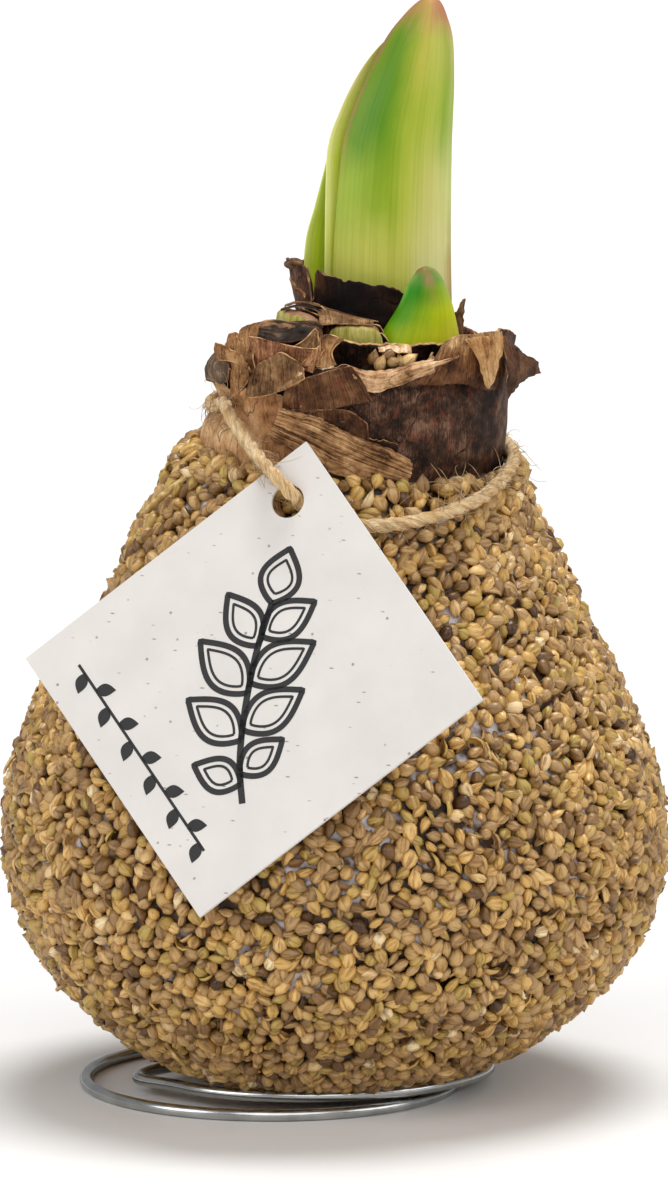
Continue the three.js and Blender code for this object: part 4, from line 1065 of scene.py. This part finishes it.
def chipSheet(corners, seed):
    lowLeft, lowRight, highLeft, highRight = (Vector(corner) for corner in corners)

    def at(u, v):
        spot = lowLeft.lerp(lowRight, u).lerp(highLeft.lerp(highRight, u), v)
        edge = 0.3 * rough(spot, 0.7, seed)
        return spot + Vector((edge, -0.35 * math.sin(math.pi * u) + edge, edge))

    return gridSheet(10, 8, at, size=(2, 2))


standing = [  # the piece, its shape, place and finish, the solid it stands for, its slot, thickness and edge
    ("outer_skin", outerTunic, grown, "dark", "outer_tunic", "dry_tunic", 0.5, tornEdgeAndHighlight),
    ("peeling_skin", peelingTunic, grown, "peel", "peeling_tunic", "old_tunic", 0.35, tornEdgeAndHighlight),
    # the middle skin's near-black finish is painted shade
    ("middle_skin", middleTunic, inThroat, "black", "middle_tunic", "old_tunic", 0.45, tornEdgeAndHighlight),
    ("collar_skin", collar, collarPlace, "collar", "inner_collar", "dry_tunic", 0.4, darkEdge),
]
# skins whose rims get the paler edge, partly a painted highlight
paleEdged = ("tan", "pale", "pink", "olive", "gold")


def makeNeck():
    for name, settings, place, skin, solid, slot, thick, rim in standing:
        addPiece(name, tunicSheet(settings, place), skins[skin], [solid], slot, thick, rim)
    for k, (name, scrap) in enumerate(scraps.items()):
        rim = tornEdgeAndHighlight if scrap["skin"] in paleEdged else darkEdge
        sheet = scrapSheet(scrap, 20 + k)
        addPiece(name, sheet, skins[scrap["skin"]], slot="old_tunic", thick=0.22, rim=rim)
    bits = joined([chipSheet(chip, 80 + k) for k, chip in enumerate(chips)])
    addPiece("skin_chips", bits, skins["pale"], slot="old_tunic", thick=0.12, rim=tornEdgeAndHighlight)
    print("neck made")


makeNeck()


# leaves
leaves = {  # rows are (height, middle, half width); bands are (height from 0 to 1, colours across)
    "front_leaf": {
        "y": -0.6, "arch": -3.6, "thick": 3.4, "finish": "leafFront", "vein": 42,
        "rows": [(125.7, 9.6, 10), (140, 9.6, 9.7), (156, 10.3, 9.1), (162, 11.1, 8.5), (168, 12.4, 7.4),
            (175, 14, 5.6), (179, 15, 3.6), (181.4, 15.7, 1.8), (182.4, 16, 0)],
        "bands": [
            # the lowest band is the leaf's own pale base, made paler still as painted light where the neck
            # shades it
            (0.2, [(0, "#D0D066"), (0.3, "#CCCC62"), (0.48, "#C4C458"), (0.6, "#CFCC66"), (0.75, "#DEDA94"),
                (0.93, "#E0DC9C"), (1, "#BFA068")]),
            (0.42, [(0, "#AFC452"), (0.1, "#A6C04C"), (0.3, "#96B234"), (0.46, "#92AC24"), (0.6, "#B6C048"),
                (0.8, "#D0CC7A"), (1, "#D4DB95")]),
            (0.64, [(0, "#A88A5A"), (0.05, "#7C9E3E"), (0.18, "#629434"), (0.32, "#5F921C"),
                (0.45, "#7AA01E"), (0.6, "#A9B93A"), (0.78, "#B4C24C"), (0.9, "#96B440"), (1, "#B4C66C")]),
            (0.87, [(0, "#A07A52"), (0.06, "#769624"), (0.16, "#609014"), (0.3, "#6C9618"),
                (0.45, "#9CAE38"), (0.6, "#C0BC50"), (0.78, "#C4C864"), (0.92, "#ACB852"), (1, "#C6C07C")]),
            (0.985, [(0, "#AC7658"), (0.15, "#B48E54"), (0.5, "#C89E62"), (0.8, "#C68E68"),
                (1, "#BC8068")]),
        ]},
    # the back leaf is coloured brighter than the blade is, as painted light standing for light shining
    # through it
    "back_leaf": {
        "y": 0.8, "arch": 3.4, "thick": 2.8, "finish": "leafBackPaintedLight", "vein": 30,
        "rows": [(125.7, 7.6, 9.3), (151, 7.6, 9), (158, 8, 8.8), (163, 8.8, 7.8), (167.5, 9.8, 6.7),
            (171.5, 10.6, 5), (174.6, 11, 2.6), (175.8, 11.1, 0)],
        "bands": [
            (0.1, [(0, "#F8F69A"), (0.1, "#E6F03C"), (0.2, "#CCE60C"), (0.3, "#ECF24C"), (1, "#EEF07A")]),
            (0.6, [(0, "#F4F6A8"), (0.1, "#E0EC5E"), (0.22, "#C2DE20"), (0.4, "#D6E64C"), (1, "#DCE66A")]),
            (0.95, [(0, "#E2D288"), (0.1, "#D4DC6C"), (0.5, "#C8D060"), (1, "#C9B26A")]),
        ]},
    # the side leaf is coloured brighter than the blade is, as painted light standing for light shining
    # through it
    "side_leaf": {
        "y": 5, "arch": 2.5, "thick": 2, "turn": 35, "finish": "leafSidePaintedLight", "vein": 24,
        "rows": [(125.7, 1.3, 7.9), (140, 1.4, 7.6), (147, 1.9, 6.2), (152.5, 1.9, 4.4), (156.5, 1.3, 2.4),
            (159.3, 0.6, 0)],
        "bands": [
            (0.1, [(0, "#F0F88A"), (0.16, "#DCEE28"), (0.5, "#D2E80C"), (0.85, "#CCE410"), (1, "#EEF4A0")]),
            (0.95, [(0, "#E0EC8A"), (0.16, "#C8DE3C"), (0.5, "#B4D42C"), (0.85, "#C0DA40"),
                (1, "#E0EA92")]),
        ]},
    "small_leaf": {
        "y": -11, "arch": -1.2, "thick": 5.4, "margin": 1.4, "finish": "leafSmall", "vein": 26,
        "rows": [(125.7, 13.6, 7.1), (127.2, 14, 6.6), (129.4, 14.5, 5.7), (132.5, 15.1, 4.4),
            (135.6, 15.2, 3.2), (137.4, 15.3, 2.2), (138.5, 15.2, 1.2), (138.9, 15.2, 0)],
        "bands": [
            (0.12, [(0, "#88B408"), (0.2, "#A2BE06"), (0.5, "#BCC612"), (0.8, "#D4D026"), (1, "#DED84A")]),
            (0.4, [(0, "#4C9606"), (0.2, "#5A9C02"), (0.45, "#8EB004"), (0.75, "#BAC604"), (1, "#CCD014")]),
            (0.7, [(0, "#86C85A"), (0.1, "#3A9410"), (0.3, "#2E8800"), (0.5, "#649406"), (0.66, "#84982C"),
                (0.8, "#86A81A"), (1, "#A6B84C")]),
            (0.86, [(0, "#8AA85A"), (0.22, "#4A9030"), (0.4, "#6E8638"), (0.52, "#9C8458"),
                (0.66, "#988454"), (0.82, "#62983C"), (1, "#8AA45E")]),
            (0.97, [(0, "#7E7244"), (0.35, "#A08058"), (0.5, "#8E783E"), (0.75, "#768A46"),
                (1, "#92945C")]),
        ]},
}


def leafSheet(leaf):
    rows = leaf["rows"]
    foot, tip = rows[0][0], rows[-1][0]
    upright = Matrix.Rotation(math.radians(leaf.get("turn", 0)), 3, "Z")
    margin = leaf.get("margin", 0.8)

    def at(u, v):
        height, middle, width = curveAt(rows, v)
        width = max(width, 0)
        angle = 2 * math.pi * u
        across, front = -math.cos(angle), -math.sin(angle)
        full = min(width / rows[0][2], 1) ** 0.7
        crown = 1 - across * across
        half = (margin + (leaf["thick"] - margin) * crown) * 0.5 * full
        edge = min(1, abs(front) * 2.2)  # the section closes at both margins
        ripple = 0.12 * rough((across * 9, 0, height / 9), 3, 5) * full
        y = leaf["arch"] * crown * full + (half * edge if front > 0 else -half * edge) + ripple
        return Vector((middle, leaf["y"], height)) + upright @ Vector((across * width, y, 0))

    def chart(u, v):
        return (1 - math.cos(2 * math.pi * u)) / 2, (curveAt(rows, v)[0] - foot) / (tip - foot)

    return gridSheet(44, 70, at, closed=True, chart=chart)


def leafMaterial(name, bands, vein):
    # amaryllis leaf, fresh: waxy, with fine parallel veins; bands are colours across it, each at its height,
    # some brightened as painted light
    material, add = newMaterial(name)
    chart = add("UVMap", uv_map="UVMap")
    # UV is 0 to 1 across the leaf, about 18 mm, and up it: veins are about 0.5 mm apart, patches 6 mm wide
    long = add("Mapping", Vector=chart, Scale=(vein, 1.2, 1))
    veins = add("TexNoise", "Fac", Vector=long, Scale=1, Detail=2, Roughness=0.6)
    soft = add("Mapping", Vector=chart, Scale=(3, 5, 1))
    patches = add("TexNoise", "Fac", Vector=soft, Scale=1, Detail=3)
    drift = add("MapRange", Value=patches, To_Min=-0.09, To_Max=0.09)
    drifted = add("CombineXYZ", X=drift, Y=drift)
    where = add("VectorMath", operation="ADD", values=(chart, drifted))
    across = add("SeparateXYZ", "X", Vector=where)
    up = across.node.outputs["Y"]
    blend, below = None, 0
    for height, stops in bands:
        band = add("ValToRGB", "Color", Fac=across, stops=stops)
        if blend:
            rise = add("MapRange", interpolation_type="SMOOTHSTEP", Value=up, From_Min=below, From_Max=height)
            band = add("MixRGB", Fac=rise, Color1=blend, Color2=band)
        blend, below = band, height
    veinShade = add("ValToRGB", "Color", Fac=veins, stops=[(0.36, "#D8E090"), (0.58, "#FFFFEC")])
    veined = add("MixRGB", blend_type="MULTIPLY", Fac=0.4, Color1=blend, Color2=veinShade)
    bump = add("Bump", Strength=0.35, Distance=0.25 * mm, Height=veins)
    return finished(material, Roughness=0.42, Specular_IOR_Level=0.22, Base_Color=veined, Normal=bump)


def makeLeaves():
    for name, leaf in leaves.items():
        finish = leafMaterial(leaf["finish"], leaf["bands"], leaf["vein"])
        addPiece(name + "_blade", leafSheet(leaf), finish, [name], "leaf")
    print("leaves made")


makeLeaves()


# last year's cut leaves, and the throat
cutScales = {
    "cut_scale_left": {"inner": 12.2, "outer": 15.8, "from": 184, "to": 238, "top": 131.4},
    "cut_scale_front": {"inner": 9.6, "outer": 13, "from": 236, "to": 283, "top": 129.8},
}
throat = {
    "foot": 124.6,
    "section": 16,  # length round a cut leaf's section, for its UV
    "rings": [(15.2, 128.6), (14.2, 129), (11.2, 131.4), (9.2, 132.2)],  # radius and top of the inner skins
    "rim": [  # degrees, how far it lies below the top, and flare
        (0, 3.6, 0.3), (90, 3, 0.3), (190, 0.4, 0.5), (215, 0, 0.6), (240, 1.4, 0.5), (266, 2, 0.4),
        (280, 3, 0.4), (292, 6, 0.3), (330, 6, 0.3),
    ],
    "ring": {"foot": 124.8, "columns": 110, "rows": 8, "tear": 0.25, "crumple": 0.3},
}


def cutScaleSheet(scale, seed):
    middle, half = (scale["inner"] + scale["outer"]) / 2, (scale["outer"] - scale["inner"]) / 2

    def at(u, v):
        degrees = mix(scale["from"], scale["to"], v)
        closing = max(0, 1 - abs(2 * v - 1) ** 7) ** 0.5
        angle = 2 * math.pi * u
        out, rise = -math.cos(angle), math.sin(angle)
        reach = max(abs(out), abs(rise))  # a squared section with rounded corners
        square = 1 / (0.55 * reach + 0.45)
        top = scale["top"] - 0.9 * abs(2 * v - 1) ** 3 + 0.3 * rough((degrees / 3, out, 0), 1.2, seed)
        width = half * max(closing, 0.02) * (0.9 + 0.1 * rough((degrees / 4, out, 0), 1, seed))
        high = mix(throat["foot"], top, min(1, max(0, 0.5 + 0.5 * rise * square)) * max(closing, 0.3))
        return inThroat(middle + min(1, max(-1, out * square)) * width, degrees, high)

    arc = math.radians(scale["to"] - scale["from"]) * middle
    return gridSheet(32, 44, at, closed=True, chart=lambda u, v: (v * arc, u * throat["section"]))


def stumpMaterial():  # cut leaf base: moist green flesh with upright streaks, browned and dry along the cut
    material, add = newMaterial("cutScaleFlesh")
    chart = add("UVMap", uv_map="UVMap")
    # UV is in millimetres: u runs round the neck, and v round the section, whose cut is at a quarter
    laid = add("Mapping", Vector=chart, Scale=(2, 0.25, 1))
    streaks = add("TexNoise", "Fac", Vector=laid, Scale=1, Detail=4, Roughness=0.65)
    tones = add("ValToRGB", "Color", Fac=streaks, stops=[
        (0.3, "#7E7A2A"), (0.45, "#AEA448"), (0.58, "#CABE66"), (0.72, "#E0D08C")])
    section = add("SeparateXYZ", "Y", Vector=chart)
    offTop = add("Math", operation="SUBTRACT", values=(section, throat["section"] / 4))
    apart = add("Math", operation="ABSOLUTE", values=(offTop,))
    blotches = add("TexNoise", "Fac", Vector=add("TexCoord", "Object"), Scale=1 / (1.6 * mm), Detail=4)
    uneven = add("Math", operation="ADD", values=(blotches, apart))
    dried = add("MapRange", Value=uneven, From_Min=2.6, From_Max=2)
    browned = add("MixRGB", Fac=dried, Color1=tones, Color2=colour("#9A6E50"))
    bump = add("Bump", Strength=0.5, Distance=0.25 * mm, Height=streaks)
    return finished(material, Roughness=0.5, Specular_IOR_Level=0.3, Base_Color=browned, Normal=bump)


def makeThroat():
    green = stumpMaterial()
    for k, (name, scale) in enumerate(cutScales.items()):
        addPiece(name + "_stump", cutScaleSheet(scale, 50 + k), green, [name], "cut_scale")
    rings = []
    for k, (radius, top) in enumerate(throat["rings"]):
        rim = [(degrees, top - drop, flare) for degrees, drop, flare in throat["rim"]]
        rings.append(tunicSheet(dict(throat["ring"], radius=radius, seed=60 + k, rim=rim), inThroat))
    # the inner skins get the near-black finish, painted shade of the throat's hollow
    addPiece("throat_skins", joined(rings), skins["black"], slot="old_tunic", thick=0.3, rim=tornEdgeAndHighlight)
    # the bulb where it shows in the throat: dark brown to near black, painted shade of the deep hollow
    flesh = flatMaterial("shadedDriedBulbFlesh", [(0.3, "#120B07"), (0.5, "#2A1C14"), (0.7, "#4A3728")], 3, 0.8)
    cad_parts["bulb"].material_slots[0].material = flesh
    print("throat made")


makeThroat()


# wire coil
wire = {
    "diameter": 2,
    "hook": [(-9, 11, 1.7), (-18.4, 8.6, 1.8), (-26.4, 2.6, 2), (-31.2, -4.2, 2.3), (-32.2, -11.4, 2.6)],
    "upper": {"x": -3.4, "y": 0, "radius": 29.2, "from": 217, "to": 455},
    "lower": {"x": -10.3, "y": -2.5, "radius": 31, "from": 122, "to": 352},
    "stepDegrees": 15,
    "crossing": 300,  # degrees, where the upper turn passes over the lower one
    "lift": 2.4,
    "dip": 0.5,  # the upper turn starts this much lower
    "dipEnd": 215,
}


def wireMaterial():  # steel wire, galvanised and drawn: bright grey, a little clouded along its length
    material, add = newMaterial("galvanisedWire")
    clouds = add("TexNoise", "Fac", Vector=add("TexCoord", "Object"), Scale=1 / (5 * mm), Detail=3)
    tones = add("ValToRGB", "Color", Fac=clouds, stops=[(0.3, "#AEB2B4"), (0.7, "#D4D7D8")])
    gloss = add("MapRange", Value=clouds, To_Min=0.14, To_Max=0.3)
    return finished(material, Metallic=1, Base_Color=tones, Roughness=gloss)


def makeWire():
    def arc(turn, lift):
        start, end = turn["from"], turn["to"]
        count = round((end - start) / wire["stepDegrees"])
        for k in range(count + 1):
            degrees = mix(start, end, k / count)
            a = math.radians(degrees)
            yield (turn["x"] + turn["radius"] * math.cos(a), turn["y"] + turn["radius"] * math.sin(a),
                   wire["diameter"] / 2 + lift(degrees))

    def sinking(degrees):
        crossing = wire["crossing"]
        fall = wire["lift"] * (1 - smoothStep(degrees, crossing + 10, crossing + 130))
        return fall - wire["dip"] * (1 - smoothStep(degrees, wire["dipEnd"], crossing - 15))

    route = wire["hook"] + list(arc(wire["upper"], sinking)) + list(arc(wire["lower"], lambda _: 0))
    line, length = evenLine(route, 300)
    tube = tubeSheet(line, lambda angle, share: wire["diameter"] / 2, 14, reach=length)
    addPiece("coil_wire", tube, wireMaterial(), ["wire_stand"], "galvanised_wire")
    print("wire made,", round(length), "mm long")


makeWire()


# tag
tag = {
    "width": 55.7, "height": 58.7, "thick": 0.6,
    "hole": (6.5, 8.1), "holeDiameter": 5.6,  # from the upper corner
    "turn": 22, "lean": 23.6, "roll": -47.5,
    "centre": (45, 4, 75.7),  # out, across and up
    "softEdge": 0.08,
    "specks": [  # how far apart, how long, their turn in radians and their colour
        (4.2, 1, 0, "#9C8F86"), (5.5, 3.2, 0.9, "#A89886"), (6.5, 3.4, -0.5, "#8E8A90"),
    ],
}


def tagPlace():
    turn, lean, roll = (math.radians(tag[k]) for k in ("turn", "lean", "roll"))
    out = Vector((-math.sin(turn), -math.cos(turn), 0))
    right = Vector((math.cos(turn), -math.sin(turn), 0))
    up = -out * math.sin(lean) + Vector((0, 0, math.cos(lean)))
    along = right * math.cos(roll) + up * math.sin(roll)
    down = right * math.sin(roll) - up * math.cos(roll)
    back = along.cross(down)
    away, across, high = tag["centre"]
    centre = out * away + right * across + Vector((0, 0, high))
    return Matrix.Translation(centre) @ Matrix((along, down, back)).transposed().to_4x4()


def cardMaterial():  # recycled card, cut: warm white, with specks and short fibres of the old paper in it
    material, add = newMaterial("recycledCard")
    place = add("TexCoord", "Object")
    clouds = add("TexNoise", "Fac", Vector=place, Scale=1 / (9 * mm), Detail=3)
    specked = add("ValToRGB", "Color", Fac=clouds, stops=[(0.3, "#DCD8D4"), (0.7, "#E4E0DC")])
    for spacing, stretch, turn, tint in tag["specks"]:
        laid = add("Mapping", Vector=place, Scale=(1, 1, stretch), Rotation=(0.3, turn, turn))
        cells = add("TexVoronoi", "Distance", Vector=laid, Scale=1 / (spacing * mm))
        spot = add("ValToRGB", "Color", Fac=cells, stops=[(0.03, "#FFFFFF"), (0.08, "#000000")])
        specked = add("MixRGB", Fac=spot, Color1=specked, Color2=colour(tint))
    grain = add("TexNoise", "Fac", Vector=place, Scale=1 / (0.5 * mm), Detail=3)
    bump = add("Bump", Strength=0.25, Distance=0.06 * mm, Height=grain)
    return finished(material, Roughness=0.85, Specular_IOR_Level=0.2, Base_Color=specked, Normal=bump)


def cardSheet():
    # a ring round the hole is drawn out wide, cut off along the four edges, and given its thickness
    card = bmesh.new()
    bmesh.ops.create_circle(card, segments=40, radius=tag["holeDiameter"] / 2)
    rim = card.edges[:]
    for grow in (1.25, 3, 6, 8):
        drawn = bmesh.ops.extrude_edge_only(card, edges=rim)["geom"]
        verts = [item for item in drawn if isinstance(item, bmesh.types.BMVert)]
        rim = [item for item in drawn if isinstance(item, bmesh.types.BMEdge)]
        bmesh.ops.scale(card, vec=(grow, grow, 1), verts=verts)
    halfWidth, halfHeight = tag["width"] / 2, tag["height"] / 2
    shift = Vector((tag["hole"][0] - halfWidth, tag["hole"][1] - halfHeight, -tag["thick"] / 2))
    bmesh.ops.translate(card, vec=shift, verts=card.verts)
    for normal in ((1, 0, 0), (-1, 0, 0), (0, 1, 0), (0, -1, 0)):
        reach = halfWidth if normal[0] else halfHeight
        bmesh.ops.bisect_plane(card, geom=card.verts[:] + card.edges[:] + card.faces[:],
                               plane_co=Vector(normal) * reach, plane_no=normal, clear_outer=True)
    bmesh.ops.recalc_face_normals(card, faces=card.faces)
    if card.faces[0].normal.z > 0:
        bmesh.ops.reverse_faces(card, faces=card.faces)
    bmesh.ops.solidify(card, geom=card.faces[:], thickness=tag["thick"])
    sharp = [edge for edge in card.edges if edge.is_manifold and edge.calc_face_angle() > 1]
    bmesh.ops.bevel(card, geom=sharp, offset=tag["softEdge"], segments=2, profile=0.5, affect="EDGES",
                    material=-1)
    return card


ink = {
    "line": 1, "lift": 0.03,
    "innerLine": {"inset": 1.25, "width": 0.45},  # its width is a share of the line's
    "stem": [(16.5, 13), (10.5, 9.6), (3.8, 4.2), (-3.4, -3), (-8.6, -9.6)],
    "leaves": [  # place along the stem, length, width, degrees off the stem
        (6, 9, 2.8, 60), (19, 12, 3.4, 56), (33, 12.6, 3.5, 52), (47, 10.6, 3.1, 46),
    ],
    "tipLeaf": (9.5, 3.4),
    "border": {"from": -21, "to": 19, "y": 22.6, "count": 11, "length": 3.6, "width": 1.1},
}


def onCard(x, y):
    return Vector((x, y, -tag["thick"] / 2 - ink["lift"]))


def inkLine(points, width, steps):
    line, _ = evenLine([Vector((x, y, 0)) for x, y in points], steps)

    def at(u, v):
        k = round(v * steps)
        along = (line[min(k + 1, steps)] - line[max(k - 1, 0)]).normalized()
        middle = line[k] + Vector((-along.y, along.x, 0)) * width * (u - 0.5)
        return onCard(middle.x, middle.y)

    return gridSheet(1, steps, at)


def leafEdge(start, direction, length, width, share):  # a pointed oval, once round
    along = 1 - abs(2 * share - 1)
    side = 1 if share < 0.5 else -1
    aside = Vector((-direction.y, direction.x))
    return start + direction * length * along + aside * side * width * math.sin(math.pi * along ** 0.85)


def drawnLeaf(start, direction, length, width):  # outlined twice, the inner line finer
    sheets = []
    inner = ink["innerLine"]
    for inset, line in ((0, ink["line"]), (inner["inset"], ink["line"] * inner["width"])):
        foot, reach, half = start + direction * inset * 1.3, length - 2.9 * inset, max(width - inset, 0.5)
        ring = [leafEdge(foot, direction, reach, half, k / 40) for k in range(41)]
        sheets.append(inkLine([tuple(p) for p in ring], line, 80))
    return sheets


def filledLeaf(start, direction, length, width):
    def at(u, v):
        near = leafEdge(start, direction, length, width, v / 2)
        far = leafEdge(start, direction, length, width, 1 - v / 2)
        spot = near.lerp(far, u)
        return onCard(spot.x, spot.y)

    return gridSheet(2, 12, at)


def sprigSheets():  # a plain twig with paired leaves, and a row of small leaves along one edge
    sheets = [inkLine(ink["stem"], ink["line"] * 1.15, 60)]
    stem, _ = evenLine([Vector(p) for p in ink["stem"]], 60)
    for k, length, width, off in ink["leaves"]:
        along = (stem[k + 1] - stem[k - 1]).normalized()
        for side in (-1, 1):
            direction = Matrix.Rotation(side * math.radians(off), 2) @ along
            sheets += drawnLeaf(stem[k + (3 if side > 0 else 0)], direction, length, width)
    sheets += drawnLeaf(stem[60], (stem[60] - stem[58]).normalized(), *ink["tipLeaf"])
    border = ink["border"]
    sheets.append(inkLine([(border["from"], border["y"]), (border["to"], border["y"])], ink["line"] * 0.5, 8))
    for k in range(border["count"]):
        x = mix(border["from"], border["to"], (k + 0.5) / border["count"])
        direction = Vector((0.62, -0.78 if k % 2 else 0.78))
        sheets.append(filledLeaf(Vector((x, border["y"])), direction, border["length"], border["width"]))
    return sheets


def makeTag():
    placed = tagPlace()
    card = cardSheet()
    bmesh.ops.transform(card, matrix=placed, verts=card.verts)
    addPiece("tag_card", card, cardMaterial(), ["tag"], "tag_card", smooth=False)
    sprig = joined(sprigSheets())
    bmesh.ops.reverse_faces(sprig, faces=[face for face in sprig.faces if face.normal.z > 0])
    bmesh.ops.transform(sprig, matrix=placed, verts=sprig.verts)
    black = flatMaterial("printInk", [(0.3, "#151416"), (0.7, "#1F1D20")], 2, 0.55)
    addPiece("tag_sprig", sprig, black, slot="tag_card", smooth=False)
    print("tag made")


makeTag()


# floor and light
studio = {
    "floorSize": 30,  # half its side, in metres
    "sky": 0.28,
    "lamps": {  # name: (where its light comes from, strength, how wide it is in degrees)
        "topLamp": ((0.12, 0.22, 1), 2.4, 30),
        "frontLamp": ((0.1, -1, 0.75), 0.88, 50),
        "leftLamp": ((-1, -0.6, 0.6), 0.78, 35),
        "rightLamp": ((1.1, -0.4, 0.6), 0.55, 35),
    },
}


def makeStudio():
    floor = bmesh.new()
    bmesh.ops.create_grid(floor, x_segments=2, y_segments=2, size=studio["floorSize"])
    mesh = bpy.data.meshes.new("floor")
    floor.to_mesh(mesh)
    floor.free()
    # pale board, matt: seen white, and throws less light up than it would
    material, add = newMaterial("paleBoard")
    seen = add("LightPath", "Is Camera Ray")
    pale = add("MixRGB", Fac=seen, Color1=colour("#DCD8D2"), Color2=colour("#F6F5F4"))
    mesh.materials.append(finished(material, Roughness=0.42, Base_Color=pale))
    plane = bpy.data.objects.new("floor", mesh)
    bpy.context.collection.objects.link(plane)

    world = bpy.data.worlds.new("studio")
    bpy.context.scene.world = world
    world.use_nodes = True
    sky = world.node_tree.nodes["Background"].inputs
    sky["Color"].default_value, sky["Strength"].default_value = colour("#FFFFFF"), studio["sky"]
    for name, (source, strength, width) in studio["lamps"].items():
        data = bpy.data.lights.new(name, "SUN")
        data.energy, data.angle = strength, math.radians(width)
        lamp = bpy.data.objects.new(name, data)
        lamp.rotation_euler = (-Vector(source)).to_track_quat("-Z", "Y").to_euler()
        bpy.context.collection.objects.link(lamp)
    bpy.context.scene.view_settings.view_transform = "Standard"
    print("studio made")


makeStudio()
